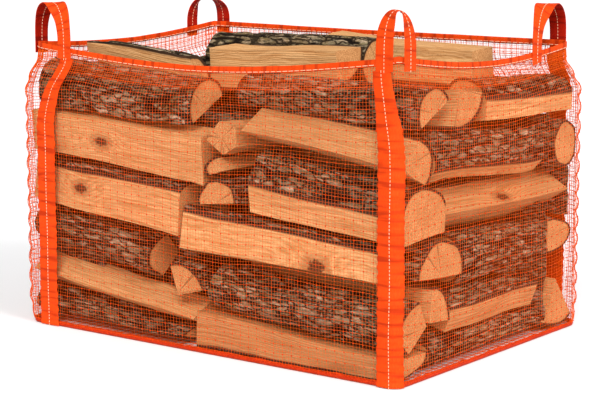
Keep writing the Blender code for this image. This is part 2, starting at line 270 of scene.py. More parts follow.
def grid_faces(rows: int, count: int, ring: bool = True, first: int = 0) -> Array:
    """Quads between rows of points.

    Args:
        rows: How many rows.
        count: Points in each row.
        ring: Whether each row closes on itself.
        first: Number of the first point.

    Returns:
        The quads' corner numbers.
    """
    across = np.arange(count if ring else count - 1)
    nxt = (across + 1) % count
    base = first + np.arange(rows - 1)[:, None] * count
    quads = np.stack([base + across, base + nxt, base + count + nxt, base + count + across], axis=-1)
    return quads.reshape(-1, 4)


def store(obj: Object, name: str, values: Array) -> None:
    """Keeps a number or a vector for each point of a mesh, for its material to read."""
    vector = values.ndim == 2
    kind, field_name = ("FLOAT_VECTOR", "vector") if vector else ("FLOAT", "value")
    attribute = obj.data.attributes.new(name, kind, "POINT")
    attribute.data.foreach_set(field_name, values.astype(np.float32).ravel())


def face_outwards(points: Array, faces: list) -> list:
    """Returns the faces of a closed mesh turned round if they point inwards."""
    corners = np.array([face[:3] for face in faces] + [(f[0], f[2], f[3]) for f in faces if len(f) == 4])
    spots = points[corners]
    volume = np.einsum("ij,ij->i", spots[:, 0], np.cross(spots[:, 1], spots[:, 2])).sum()
    return [face[::-1] for face in faces] if volume < 0 else faces


def add_uv(obj: Object, values: Array) -> None:
    """Writes a UV map, in metres across and along, from one value for each point."""
    mesh = obj.data
    layer = mesh.uv_layers.new(name="cloth")
    corners = np.empty(len(mesh.loops), np.int32)
    mesh.loops.foreach_get("vertex_index", corners)
    layer.uv.foreach_set("vector", values[corners].astype(np.float32).ravel())


def dress(piece: Object, slot: str, *nodes: str) -> None:
    """Puts a finished piece on the bag's body, in the place of its CAD nodes."""
    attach(piece, "root")
    if nodes:
        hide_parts(*nodes)
    piece.data.calc_loop_triangles()
    log.info("%s: %d triangles", piece.name, len(piece.data.loop_triangles))


def grow(piece: Object, tree: Tree, **inputs) -> Object:
    """Runs a geometry tree on a piece and keeps its result as a plain mesh.

    Args:
        piece: The object that the tree starts from. It is removed.
        tree: The tree.
        **inputs: Values for its named inputs, with spaces written as underscores.

    Returns:
        A new object with the same name and no modifier.
    """
    modifier = piece.modifiers.new("grow", "NODES")
    modifier.node_group = tree
    sockets = {item.name: item.identifier for item in tree.interface.items_tree if item.in_out == "INPUT"}
    for name, value in inputs.items():
        modifier[sockets[name.replace("_", " ")]] = value
    bpy.context.view_layer.update()
    grown = piece.evaluated_get(bpy.context.evaluated_depsgraph_get())
    mesh = bpy.data.meshes.new_from_object(grown)
    name = piece.name
    bpy.data.objects.remove(piece)
    mesh.name = name
    obj = bpy.data.objects.new(name, mesh)
    bpy.context.scene.collection.objects.link(obj)
    return obj


# Shader groups that more than one finish uses


class Effects:
    """The shader groups, each built the first time it is asked for."""

    def __init__(self) -> None:
        """Starts with no group built."""
        self.built: dict[str, Tree] = {}

    def _start(self, name: str, inputs: dict, outputs: dict) -> tuple:
        """Makes an empty group with its sockets.

        Args:
            name: The group's name.
            inputs: Socket types by name.
            outputs: Socket types by name.

        Returns:
            Its maker, its input node's outputs and its output node's inputs.
        """
        tree = bpy.data.node_groups.new(name, "ShaderNodeTree")
        add_sockets(tree, "INPUT", inputs)
        add_sockets(tree, "OUTPUT", outputs)
        maker = TreeMaker(tree)
        self.built[name] = tree
        return maker, maker.add("NodeGroupInput").outputs, maker.add("NodeGroupOutput").inputs

    def wood_grain(self) -> Tree:
        """Growth rings, fibres and knots, from a place in the log's own space."""
        if "wood grain" in self.built:
            return self.built["wood grain"]
        inputs = {"Place": VECTOR, "Seed": FLOAT, "Knot": VECTOR}
        outputs = {name: FLOAT for name in ("Rings", "Fibres", "Knot Heart", "Knot Edge", "Height")}
        maker, given, put = self._start("wood grain", inputs, outputs)
        moved = maker.shifted(given["Place"], maker.combined(given["Seed"], given["Seed"], given["Seed"]))
        slow = maker.streaky(moved, (5.0, 28.0, 28.0))
        # How far the grain steps aside for the knot
        reach = maker.length(given["Knot"])
        aside = maker.math("EXPONENT", maker.times(maker.times(reach, reach), -0.22))
        radius = maker.length(maker.stretch(given["Place"], (0.0, 1.0, 1.0)))
        bent = maker.plus(maker.plus(radius, maker.times(slow, 0.010)), maker.times(aside, 0.012))
        wave = maker.math("SINE", maker.times(bent, 2.0 * pi / RING_PITCH))
        uneven = maker.streaky(moved, (3.0, 90.0, 90.0), 2.0)
        rings = maker.times(maker.plus(maker.times(wave, 0.5), 0.5), uneven)
        sway = maker.times(maker.streaky(moved, (16.0, 30.0, 30.0), 2.0), 0.010)
        sway = maker.plus(sway, maker.times(aside, 0.010))
        swayed = maker.shifted(moved, maker.combined(0.0, sway, sway))
        fibres = maker.streaky(swayed, (11.0, 430.0, 430.0), 5.0, 0.68)
        ragged = maker.times(maker.math("SUBTRACT", maker.streaky(moved, (200.0, 200.0, 200.0)), 0.5), 0.9)
        reach = maker.plus(reach, ragged)
        from_edge = maker.math("ABSOLUTE", maker.math("SUBTRACT", reach, 1.00))
        maker.join(rings, put["Rings"])
        maker.join(fibres, put["Fibres"])
        maker.join(maker.rest(maker.steps(reach, 0.50, 0.90)), put["Knot Heart"])
        maker.join(maker.rest(maker.steps(from_edge, 0.10, 0.45)), put["Knot Edge"])
        maker.join(maker.plus(maker.times(fibres, 0.7), maker.times(rings, 0.3)), put["Height"])
        return maker.tree

    def weathering(self) -> Tree:
        """Soft patches of dust and dirt, with fine specks in them."""
        if "weathering" in self.built:
            return self.built["weathering"]
        inputs = {"Place": VECTOR, "Size": (FLOAT, 0.05), "Amount": (FLOAT, 0.5)}
        outputs = {"Patches": FLOAT, "Specks": FLOAT}
        maker, given, put = self._start("weathering", inputs, outputs)
        scaled = maker.add("ShaderNodeVectorMath", {0: given["Place"]}, operation="SCALE")
        maker.join(maker.math("DIVIDE", 1.0, given["Size"]), scaled.inputs["Scale"])
        patches = maker.steps(maker.noise(scaled.outputs[0], 1.0, 4.0, 0.6), 0.42, 0.68)
        maker.join(maker.times(patches, given["Amount"]), put["Patches"])
        specks = maker.steps(maker.noise(scaled.outputs[0], 30.0, 2.0, 0.5), 0.60, 0.72)
        maker.join(maker.times(specks, given["Amount"]), put["Specks"])
        return maker.tree

    def weave(self) -> Tree:
        """The ribs and crossing threads of a woven tape, from its UV map in metres."""
        if "weave" in self.built:
            return self.built["weave"]
        inputs = {"Place": VECTOR, "Across": (FLOAT, 0.0016), "Along": (FLOAT, 0.0011)}
        maker, given, put = self._start("weave", inputs, {"Height": FLOAT, "Shade": FLOAT})
        parts = maker.parts(given["Place"])
        across = maker.times(maker.math("DIVIDE", parts[0], given["Across"]), 2.0 * pi)
        along = maker.times(maker.math("DIVIDE", parts[1], given["Along"]), 2.0 * pi)
        over = maker.times(maker.math("SINE", across), maker.math("SINE", along))
        ribs = maker.math("ABSOLUTE", maker.math("SINE", maker.times(across, 0.5)))
        height = maker.math("ADD", maker.times(over, 0.25), maker.times(ribs, 0.5), clamp=True)
        maker.join(height, put["Height"])
        fuzz = maker.streaky(given["Place"], (900.0, 160.0, 1.0), 3.0)
        maker.join(maker.plus(maker.times(height, 0.5), maker.times(fuzz, 0.5)), put["Shade"])
        return maker.tree


EFFECTS = Effects()


class MaterialMaker(TreeMaker):
    """Builds one Principled material, with the helpers that all finishes share."""

    def __init__(self, name: str, roughness: float, **constants: float) -> None:
        """Makes the material and sets the numbers that are the same all over.

        Args:
            name: The material's name.
            roughness: Its roughness.
            **constants: Other inputs of the shader, with spaces written as underscores.
        """
        self.material = bpy.data.materials.new(name)
        self.material.use_nodes = True
        super().__init__(self.material.node_tree)
        self.shader = self.tree.nodes["Principled BSDF"]
        self.shader.inputs["Roughness"].default_value = roughness
        for key, value in constants.items():
            self.shader.inputs[key.replace("_", " ")].default_value = value

    def colour(self, socket: Socket) -> None:
        """Joins the base colour."""
        self.join(socket, self.shader.inputs["Base Color"])

    def bump(self, height: Socket, strength: float, distance: float) -> None:
        """Joins a bump of that height to the normal."""
        inputs = {"Strength": strength, "Distance": distance, "Height": height}
        self.join(self.add("ShaderNodeBump", inputs).outputs[0], self.shader.inputs["Normal"])

    def group(self, tree: Tree, **inputs) -> bpy.types.bpy_prop_collection:
        """Adds a shared effect and returns its outputs."""
        return self.add("ShaderNodeGroup", inputs, node_tree=tree).outputs


@dataclass(frozen=True)
class BarkFinish:
    """Grey-brown bark with dark fissures, pinkish flakes and patches of moss; its hollows are darkened partly as
    painted shade and its raised flakes lightened partly as painted highlight.
    """

    plate: tuple = (0.184, 0.122, 0.055)
    flake_and_highlight: tuple = (0.700, 0.485, 0.315)
    fissure: tuple = (0.012, 0.007, 0.004)
    moss: tuple = (0.200, 0.145, 0.045)
    lichen: tuple = (0.430, 0.400, 0.290)
    streak_cells: tuple = (35.0, 190.0, 190.0)
    patch_cells: tuple = (14.0, 30.0, 30.0)
    moss_cells: tuple = (22.0, 46.0, 46.0)
    wander_cells: tuple = (60.0, 90.0, 90.0)
    plate_cells: tuple = (30.0, 92.0, 92.0)
    grit_cells: tuple = (260.0, 620.0, 620.0)

    def make(self) -> Material:
        """Builds the material."""
        maker = MaterialMaker("bark", 0.92, Specular_IOR_Level=0.06)
        place = maker.attribute("log_place").outputs["Vector"]
        relief = maker.attribute("relief").outputs["Fac"]
        tone = maker.parts(maker.attribute("log_tone").outputs["Vector"])
        moved = maker.shifted(place, maker.combined(tone[2], tone[2], tone[2]))
        streaks = maker.streaky(moved, self.streak_cells, 5.0, 0.68)
        patches = maker.streaky(moved, self.patch_cells, 3.0)
        # Where the streaks stand highest the bark takes the pale flake colour: partly the flakes' own colour, partly
        # painted highlight.
        colour = maker.mix(maker.steps(streaks, 0.47, 0.70), self.plate, self.flake_and_highlight)
        dark = tuple(value * 0.42 for value in self.plate)
        colour = maker.cover(colour, dark, maker.steps(patches, 0.40, 0.66), 0.7)
        mossy = maker.streaky(moved, self.moss_cells, 5.0, 0.66)
        edge = maker.math("SUBTRACT", 0.72, maker.times(tone[1], 0.22))
        mask = maker.steps(maker.math("SUBTRACT", mossy, edge), 0.0, 0.10)
        colour = maker.cover(colour, self.moss, mask, 0.6)
        weather = maker.group(EFFECTS.weathering(), Place=moved, Size=0.022, Amount=0.75)
        colour = maker.cover(colour, self.lichen, weather["Patches"], 0.35)
        colour = maker.mix(weather["Specks"], colour, self.fissure)
        # Small plates with a crack round each, and grit on them; the grit's high points take the pale flake colour,
        # partly as painted highlight, and its low points a dark one, partly as painted shade.
        inputs = {"Vector": maker.stretch(moved, self.wander_cells), "Scale": 1.0}
        wander = maker.add("ShaderNodeTexNoise", inputs).outputs["Color"]
        cells = maker.shifted(maker.stretch(moved, self.plate_cells), maker.stretch(wander, (1.6, 1.1, 1.1)))
        inputs = {"Vector": cells, "Scale": 1.0}
        plates = maker.first("ShaderNodeTexVoronoi", inputs, feature="DISTANCE_TO_EDGE")
        cracks = maker.rest(maker.steps(plates, 0.04, 0.14))
        grit = maker.streaky(moved, self.grit_cells, 4.0, 0.7)
        colour = maker.cover(colour, self.flake_and_highlight, maker.steps(grit, 0.56, 0.72), 0.55)
        colour = maker.cover(colour, dark, maker.rest(maker.steps(grit, 0.30, 0.46)), 0.75)
        # Fissures, fine grooves and the cracks round the plates are darkened: partly their own dark colour, partly
        # painted shade in the hollows.
        shade = maker.rest(maker.steps(relief, 0.10, 0.50))
        fine = maker.rest(maker.steps(streaks, 0.32, 0.42))
        shade = maker.math("MAXIMUM", shade, maker.times(fine, 0.85))
        colour = maker.mix(maker.math("MAXIMUM", shade, maker.times(cracks, 0.9)), colour, self.fissure)
        maker.colour(colour)
        height = maker.plus(maker.times(grit, 0.6), maker.steps(plates, 0.0, 0.2))
        maker.bump(maker.plus(streaks, height), 1.0, 0.0022)
        return maker.material


@dataclass(frozen=True)
class SplitFinish:
    """A split face: warm pale wood with long fibres, darker streaks and knots."""

    pale: tuple = (0.890, 0.515, 0.225)
    warm: tuple = (0.610, 0.280, 0.092)
    streak: tuple = (0.270, 0.100, 0.032)
    knot: tuple = (0.070, 0.024, 0.009)
    bark: tuple = (0.060, 0.030, 0.016)
    tick_cells: tuple = (150.0, 700.0, 700.0)

    def make(self) -> Material:
        """Builds the material."""
        maker = MaterialMaker("split wood", 0.72, Specular_IOR_Level=0.10)
        place = maker.attribute("log_place").outputs["Vector"]
        tone = maker.parts(maker.attribute("log_tone").outputs["Vector"])
        knot = maker.attribute("log_knot").outputs["Vector"]
        grain = maker.group(EFFECTS.wood_grain(), Place=place, Seed=tone[2], Knot=knot)
        weather = maker.group(EFFECTS.weathering(), Place=place, Size=0.06, Amount=0.8)
        colour = maker.mix(maker.steps(grain["Fibres"], 0.36, 0.64), self.warm, self.pale)
        colour = maker.cover(colour, self.streak, grain["Rings"], 0.50)
        dark = maker.rest(maker.steps(grain["Fibres"], 0.26, 0.42))
        colour = maker.cover(colour, self.streak, dark, 0.50)
        ticks = maker.steps(maker.streaky(place, self.tick_cells, 2.0, 0.6), 0.66, 0.72)
        colour = maker.cover(colour, self.streak, ticks, 0.6)
        tint = maker.mix(tone[0], (1.0, 1.0, 1.0), (0.62, 0.50, 0.46))
        inputs = {0: 1.0, 6: colour, 7: tint}
        colour = maker.add("ShaderNodeMix", inputs, data_type="RGBA", blend_type="MULTIPLY").outputs[2]
        colour = maker.cover(colour, self.warm, weather["Patches"], 0.35)
        colour = maker.cover(colour, self.streak, weather["Specks"], 0.55)
        colour = maker.cover(colour, self.streak, grain["Knot Edge"], 0.40)
        colour = maker.cover(colour, self.knot, grain["Knot Heart"], 0.95)
        rim = maker.rest(maker.steps(maker.attribute("bark_gap").outputs["Fac"], 0.0026, 0.0048))
        colour = maker.mix(rim, colour, self.bark)
        maker.colour(colour)
        maker.bump(grain["Height"], 0.85, 0.0022)
        return maker.material


@dataclass(frozen=True)
class SawnFinish:
    """A sawn end: pale wood with growth rings, radial cracks and a dark rim of bark."""

    pale: tuple = (0.760, 0.400, 0.165)
    dark: tuple = (0.420, 0.170, 0.055)
    crack: tuple = (0.090, 0.030, 0.010)
    bark: tuple = (0.050, 0.026, 0.014)
    speckle_cells: tuple = (480.0, 480.0, 480.0)

    def make(self) -> Material:
        """Builds the material."""
        maker = MaterialMaker("sawn end", 0.80, Specular_IOR_Level=0.08)
        place = maker.attribute("log_place").outputs["Vector"]
        tone = maker.parts(maker.attribute("log_tone").outputs["Vector"])
        nowhere = (FAR_AWAY,) * 3
        grain = maker.group(EFFECTS.wood_grain(), Place=place, Seed=tone[2], Knot=nowhere)
        weather = maker.group(EFFECTS.weathering(), Place=place, Size=0.03, Amount=0.9)
        speckle = maker.streaky(place, self.speckle_cells, 4.0, 0.75)
        colour = maker.mix(maker.steps(speckle, 0.38, 0.60), self.dark, self.pale)
        colour = maker.cover(colour, self.dark, grain["Rings"], 0.60)
        colour = maker.cover(colour, self.dark, weather["Patches"], 0.50)
        # Cracks run out from the pith
        parts = maker.parts(place)
        turn = maker.math("ARCTAN2", parts[1], parts[2])
        rays = maker.noise(maker.combined(maker.times(turn, 5.0), tone[2]), 1.0, 2.0)
        open_crack = maker.steps(rays, 0.62, 0.66)
        colour = maker.cover(colour, self.crack, open_crack, 0.55)
        wobble = maker.times(maker.math("SUBTRACT", speckle, 0.5), 0.002)
        gap = maker.plus(maker.attribute("bark_gap").outputs["Fac"], wobble)
        inner = maker.rest(maker.steps(gap, 0.0050, 0.0085))
        colour = maker.cover(colour, self.dark, inner, 0.5)
        colour = maker.mix(maker.rest(maker.steps(gap, 0.0036, 0.0050)), colour, self.bark)
        maker.colour(colour)
        maker.bump(maker.plus(speckle, maker.times(open_crack, -1.5)), 0.5, 0.0010)
        return maker.material


@dataclass(frozen=True)
class YarnFinish:
    """Shiny orange yarn of the net, a little lighter and darker from place to place."""

    name: str = "net yarn"
    light: tuple = (0.960, 0.140, 0.006)
    deep: tuple = (0.840, 0.080, 0.003)
    roughness: float = 0.55
    twist_cells: tuple = (700.0, 700.0, 1500.0)

    def make(self) -> Material:
        """Builds the material."""
        maker = MaterialMaker(self.name, self.roughness, Specular_IOR_Level=0.10)
        place = maker.add("ShaderNodeTexCoord").outputs["Object"]
        twist = maker.streaky(place, self.twist_cells, 2.0)
        weather = maker.group(EFFECTS.weathering(), Place=place, Size=0.05, Amount=0.7)
        colour = maker.mix(maker.steps(twist, 0.35, 0.65), self.deep, self.light)
        colour = maker.cover(colour, self.deep, weather["Patches"], 0.4)
        maker.colour(colour)
        maker.bump(twist, 0.5, 0.0004)
        return maker.material


@dataclass(frozen=True)
class TapeFinish:
    """Woven tape: ribs along it, crossing threads, painted crease shade, soft dirt, and in a second copy a deeper
    colour on its inner face that is painted shade.
    """

    name: str = "webbing"
    light: tuple = (0.880, 0.092, 0.005)
    deep: tuple = (0.680, 0.040, 0.002)
    rib: float = 0.0017
    thread: float = 0.0012
    crease_shade_cells: tuple = (10.0, 85.0, 1.0)
    dirt: tuple = (0.10, 0.04, 0.02)

    def make(self) -> Material:
        """Builds the material."""
        maker = MaterialMaker(self.name, 0.62, Specular_IOR_Level=0.08)
        cloth = maker.first("ShaderNodeUVMap", uv_map="cloth")
        place = maker.add("ShaderNodeTexCoord").outputs["Object"]
        weave = maker.group(EFFECTS.weave(), Place=cloth, Across=self.rib, Along=self.thread)
        weather = maker.group(EFFECTS.weathering(), Place=place, Size=0.045, Amount=0.8)
        colour = maker.mix(maker.steps(weave["Shade"], 0.20, 0.75), self.deep, self.light)
        colour = maker.cover(colour, self.deep, weather["Patches"], 0.45)
        # Darker bands along the tape are painted shade in its creases.
        crease_shade_mask = maker.streaky(cloth, self.crease_shade_cells, 2.0)
        crease_shade = tuple(value * 0.62 for value in self.deep)
        colour = maker.cover(colour, crease_shade, maker.steps(crease_shade_mask, 0.48, 0.64), 0.85)
        colour = maker.cover(colour, self.dirt, weather["Specks"], 0.12)
        maker.colour(colour)
        maker.bump(weave["Height"], 0.45, 0.0005)
        return maker.material


@dataclass(frozen=True)
class FloorFinish:
    """A plain white studio floor."""

    white: tuple = (0.93, 0.93, 0.935)

    def make(self) -> Material:
        """Builds the material."""
        maker = MaterialMaker("studio floor", 0.9, Specular_IOR_Level=0.0)
        place = maker.add("ShaderNodeTexCoord").outputs["Object"]
        colour = maker.mix(maker.noise(place, 2.0), self.white, tuple(value * 0.99 for value in self.white))
        maker.colour(colour)
        return maker.material


# The logs


class Cut(Enum):
    """How a log was split from its trunk."""

    ROUND = "round"
    HALF = "half"
    THIRD = "third"
    QUARTER = "quarter"
    WEDGE = "wedge"
    SLAB = "slab"
    FLITCH = "flitch"
    PLANK = "plank"
    BLOCK = "block"


class Lie(Enum):
    """The direction a log lies in."""

    LONG = "along the long sides"
    SHORT = "along the short sides"


SPREADS = {
    Cut.ROUND: 360,
    Cut.HALF: 188,
    Cut.THIRD: 128,
    Cut.QUARTER: 96,
    Cut.WEDGE: 62,
    Cut.SLAB: 84,
    Cut.FLITCH: 128,
    Cut.PLANK: 60,
    Cut.BLOCK: 0,
}
SPLIT_CORNERS = {
    Cut.THIRD: ((0.04, -0.02),),
    Cut.QUARTER: ((0.06, -0.04),),
    Cut.WEDGE: ((0.05, -0.10),),
    Cut.SLAB: ((0.58, -0.12), (-0.62, -0.02)),
    Cut.FLITCH: ((0.80, -0.25), (-0.80, -0.25)),
    Cut.PLANK: ((0.50, -0.16), (-0.66, -0.12)),
    Cut.BLOCK: ((-0.9, -0.3), (-0.3, 0.8), (0.7, 0.7), (0.95, -0.2), (0.2, -0.8)),
}


# Depths of the relief in metres: bark sinks by fissures and knobs, split wood by waves and torn fibres
FISSURE, KNOB, BARK_LIFT = 0.0044, 0.0018, 0.0030
WAVE, TEAR, WOOD_LIFT = 0.0040, 0.0010, 0.0022


@dataclass(frozen=True)
class Knot:
    """A knot on a split face: where it is, in metres, and its radius."""

    centre: tuple
    radius: float


@dataclass(frozen=True)
class LogPiece:
    """One log: how it was split and turned, and the room it takes in the bag, in millimetres."""

    name: str
    cut: Cut
    turn: float
    lie: Lie
    run: tuple
    across: tuple
    start: tuple
    end: tuple
    moss: float = 0.3
    tone: float = 0.3
    knot: Knot | None = None
    step_around: float = 4.0
    step_along: float = 5.6
    cap_shares: tuple = (0.03, 0.07, 0.13, 0.22, 0.36, 0.54, 0.76)

    def _coarse(self, number: int) -> tuple:
        """The corners that the CAD solid's section has.

        Args:
            number: The log's place in the list.

        Returns:
            Lobe depth, lowest corner and span of the turned outline.
        """
        spread = radians(SPREADS[self.cut])
        lobes = 0.03 + 0.02 * (number % 3)
        points = []
        if spread:
            steps = max(3, round(spread / radians(24)))
            points = [(sin(spread * (i / steps - 0.5)), cos(spread * (i / steps - 0.5))) for i in range(steps + 1)]
        points = np.array(points + list(SPLIT_CORNERS.get(self.cut, ())))
        turned = self._turned(points, lobes)
        return lobes, turned.min(axis=0), np.ptp(turned, axis=0)

    def _turned(self, points: Array, lobes: float) -> Array:
        """Points of a round trunk made uneven and turned to the way the bark faces."""
        u, v = points[:, 0], points[:, 1]
        u, v = u * (1 + lobes * np.sin(5 * u + 3 * v)), v * (1 + lobes * np.cos(4 * v - 2 * u))
        turn = radians(self.turn)
        return np.stack([u * cos(turn) + v * sin(turn), v * cos(turn) - u * sin(turn)], axis=1)

    def section(self, number: int) -> tuple:
        """A fine outline of the log's section.

        Args:
            number: The log's place in the list.

        Returns:
            The turned outline from 0 to 1 each way, the trunk's own coordinates of the same points, whether
            the piece after each point is bark, and the size of the trunk's radius in each direction.
        """
        lobes, low, span = self._coarse(number)
        height = (self.start[1] - self.start[0] + self.end[1] - self.end[0]) / 2
        scale = np.array([self.across[1] - self.across[0], height]) / span
        spread = radians(SPREADS[self.cut])
        trunk, bark = [], []
        corners = list(SPLIT_CORNERS.get(self.cut, ()))
        if spread:
            steps = max(8, round(spread * scale.mean() / self.step_around))
            last = steps if self.cut is Cut.ROUND else steps + 1
            angles = [spread * (i / steps - 0.5) for i in range(last)]
            trunk = [np.array([(sin(angle), cos(angle)) for angle in angles])]
            bark = [np.full(len(angles), True)]
            bark[0][-1] = self.cut is Cut.ROUND
        shaped = [self._turned(part, lobes) for part in trunk]
        if self.cut is not Cut.ROUND:
            ends = np.array([trunk[0][-1], *corners, trunk[0][0]] if spread else [*corners, corners[0]])
            bent = self._turned(ends, lobes)
            for first in range(len(ends) - 1):
                length = np.linalg.norm((bent[first + 1] - bent[first]) * scale)
                share = np.linspace(0, 1, max(2, round(length / self.step_around)) + 1)[:-1, None]
                skip = 1 if first == 0 and spread else 0
                trunk.append((ends[first] + (ends[first + 1] - ends[first]) * share)[skip:])
                shaped.append((bent[first] + (bent[first + 1] - bent[first]) * share)[skip:])
                bark.append(np.full(len(share) - skip, False))
        unit = (np.concatenate(shaped) - low) / span
        return unit, np.concatenate(trunk), np.concatenate(bark), scale

    def rings(self, number: int, unit: Array) -> Array:
        """The section at each place along the log.

        Args:
            number: The log's place in the list.
            unit: The outline from 0 to 1 each way.

        Returns:
            Points as (place, right, up) in metres, one row of them for each place.
        """
        count = max(12, round((self.run[1] - self.run[0]) / self.step_along)) + 1
        share = np.linspace(0, 1, count)[:, None]
        thin = 0.03 + 0.015 * (number % 4)
        waist = 1 - thin * (share if number % 2 else 1 - share) - 0.02 * np.sin(pi * share)
        slack = (1 - waist) * (0.5 + 0.5 * np.sin(2.4 * share + number))
        u, v = unit[None, :, 0], unit[None, :, 1]
        bottom = self.start[0] + (self.end[0] - self.start[0]) * share
        top = self.start[1] + (self.end[1] - self.start[1]) * share
        right = self.across[0] + (self.across[1] - self.across[0]) * (slack + u * waist)
        bow = (2.0 if number % 2 else -1.4) * np.sin(pi * share * (1 + number % 3 / 2))
        up = bottom + (top - bottom) * (v * waist) + bow
        slant = 3 * sin(1.7 * number) * (u - 0.5) * (share - 0.5)
        place = self.run[0] + (self.run[1] - self.run[0]) * share + slant
        return np.stack(np.broadcast_arrays(place, right, up), axis=-1) * MM

    def relief(self, spots: Array, bark: Array, number: int) -> tuple:
        """Fissures in the bark, and the hollows that splitting leaves.

        Args:
            spots: Places in the log's own space, one row each.
            bark: Which of them are on bark.
            number: The log's place in the list.

        Returns:
            How far each point sinks in, in metres, and its height from 0 in a fissure to 1 on a plate.
        """
        shift = number * 7.31
        warp = lattice_noise(spots * (30, 45, 45) + shift, number) * 0.35
        stretched = spots * (15, 72, 72) + shift + warp[:, None]
        ridge = np.abs(layered_noise(stretched, number + 5, 2))
        height = smooth_step(ridge / 0.26)
        knobs = 0.5 + 0.5 * lattice_noise(spots * (26, 60, 60) + shift, number + 9)
        in_bark = FISSURE * (1 - height) + KNOB * knobs - BARK_LIFT
        waves = 0.5 + 0.5 * lattice_noise(spots * (14, 40, 40) + shift, number + 3)
        torn = np.abs(lattice_noise(spots * (14, 230, 230) + shift, number + 4))
        in_wood = WAVE * waves + TEAR * torn - WOOD_LIFT
        return np.where(bark, in_bark, in_wood), np.where(bark, height, 1.0)

    def build(self, number: int, finishes: tuple) -> Object:
        """Makes the log's mesh and dresses it.

        Args:
            number: The log's place in the list.
            finishes: Bark, split and sawn materials.

        Returns:
            The finished object.
        """
        unit, trunk, bark, scale = self.section(number)
        rings = self.rings(number, unit)
        rows, count = rings.shape[:2]
        radius = sqrt(scale[0] * scale[1]) * MM
        places = np.concatenate([rings[..., :1], np.broadcast_to(trunk * radius, (rows, count, 2))], axis=-1)
        on_bark = bark | np.roll(bark, 1)
        sink, height = self.relief(places.reshape(-1, 3), np.tile(on_bark, rows), number)
        rings = self._sunk(rings, sink.reshape(rows, count, 1))
        points, local = [rings.reshape(-1, 3)], [places.reshape(-1, 3)]
        faces = grid_faces(rows, count).tolist()
        kinds = [0 if is_bark else 1 for is_bark in np.tile(bark, rows - 1)]
        for row in (0, rows - 1):
            total = sum(len(part) for part in points)
            cap_points, cap_places, cap_faces = self._cap(rings[row], places[row], row * count, total)
            points.append(cap_points)
            local.append(cap_places)
            faces += cap_faces
            kinds += [2] * len(cap_faces)
        points, local = np.concatenate(points), np.concatenate(local)
        if self.lie is Lie.SHORT:
            points = points[:, [1, 0, 2]]
        obj = mesh_object(f"{self.name}_wood", points, face_outwards(points, faces))
        for material in finishes:
            obj.data.materials.append(material)
        obj.data.polygons.foreach_set("material_index", kinds)
        obj.data.shade_smooth()
        obj.data.set_sharp_from_angle(angle=SHARP_ANGLE)
        gap = radius * (1 - np.linalg.norm(local[:, 1:] / radius, axis=1))
        if self.cut is Cut.BLOCK:
            gap[:] = 1.0
        store(obj, "log_place", local)
        store(obj, "bark_gap", gap)
        store(obj, "relief", np.concatenate([height, np.ones(len(points) - rows * count)]))
        store(obj, "log_tone", np.tile([self.tone, self.moss, number * SEED_STEP], (len(points), 1)))
        store(obj, "log_knot", self._from_knot(points, local))
        dress(obj, "bark_log" if self.cut in (Cut.ROUND, Cut.HALF) else "split_log", self.name)
        return obj

    def _sunk(self, rings: Array, sink: Array) -> Array:
        """Returns the rings with each point moved in by the relief, which the saw leaves more even at the ends."""
        away = rings - rings.mean(axis=1, keepdims=True)
        away[..., 0] = 0
        away /= np.linalg.norm(away, axis=-1, keepdims=True)
        row = np.arange(len(rings))
        calm = np.clip(np.minimum(row, row[::-1]) / 4, 0.25, 1)
        return rings - away * sink * calm[:, None, None]

    def _cap(self, ring: Array, places: Array, first: int, total: int) -> tuple:
        """A sawn end, with rings of points towards its middle.

        Args:
            ring: The section's points there.
            places: Their places in the log's own space.
            first: Number of the section's first point, 0 at the log's start.
            total: How many points the mesh has so far.

        Returns:
            The end's own points, their places and its faces.
        """
        count, order = len(ring), 1 if first == 0 else -1
        centre, centre_place = ring.mean(axis=0), places.mean(axis=0)
        edge, points, local, faces = np.arange(first, first + count), [], [], []
        for share in self.cap_shares:
            points.append(ring + (centre - ring) * share)
            local.append(places + (centre_place - places) * share)
            nxt = total + np.arange(count)
            quads = np.stack([edge, nxt, np.roll(nxt, -1), np.roll(edge, -1)], axis=-1)
            faces += quads[:, ::order].tolist()
            edge, total = nxt, total + count
        fan = np.stack([edge, np.full(count, total), np.roll(edge, -1)], axis=-1)
        faces += fan[:, ::order].tolist()
        return np.concatenate([*points, centre[None]]), np.concatenate([*local, centre_place[None]]), faces

    def _from_knot(self, points: Array, local: Array) -> Array:
        """Returns each point's way from the knot, in knot radii, or far away where there is none."""
        if self.knot is None:
            return np.full(local.shape, FAR_AWAY)
        nearest = np.argmin(np.linalg.norm(points - self.knot.centre, axis=1))
        return (local - local[nearest]) / self.knot.radius * (0.50, 0.85, 0.85)


LONG, SHORT = Lie.LONG, Lie.SHORT


def row_of_logs(stem: str, lie: Lie, *rows: tuple, **shared) -> tuple:
    """Returns the logs of one row, numbered from the top down.

    Args:
        stem: The start of their names.
        lie: The direction they lie in.
        *rows: Each log's other fields, in their order.
        **shared: Fields that they all share.

    Returns:
        The logs.
    """
    return tuple(
        LogPiece(f"{stem}_{number}", cut, turn, lie, *rest, **shared)
        for number, (cut, turn, *rest) in enumerate(rows, 1)
    )


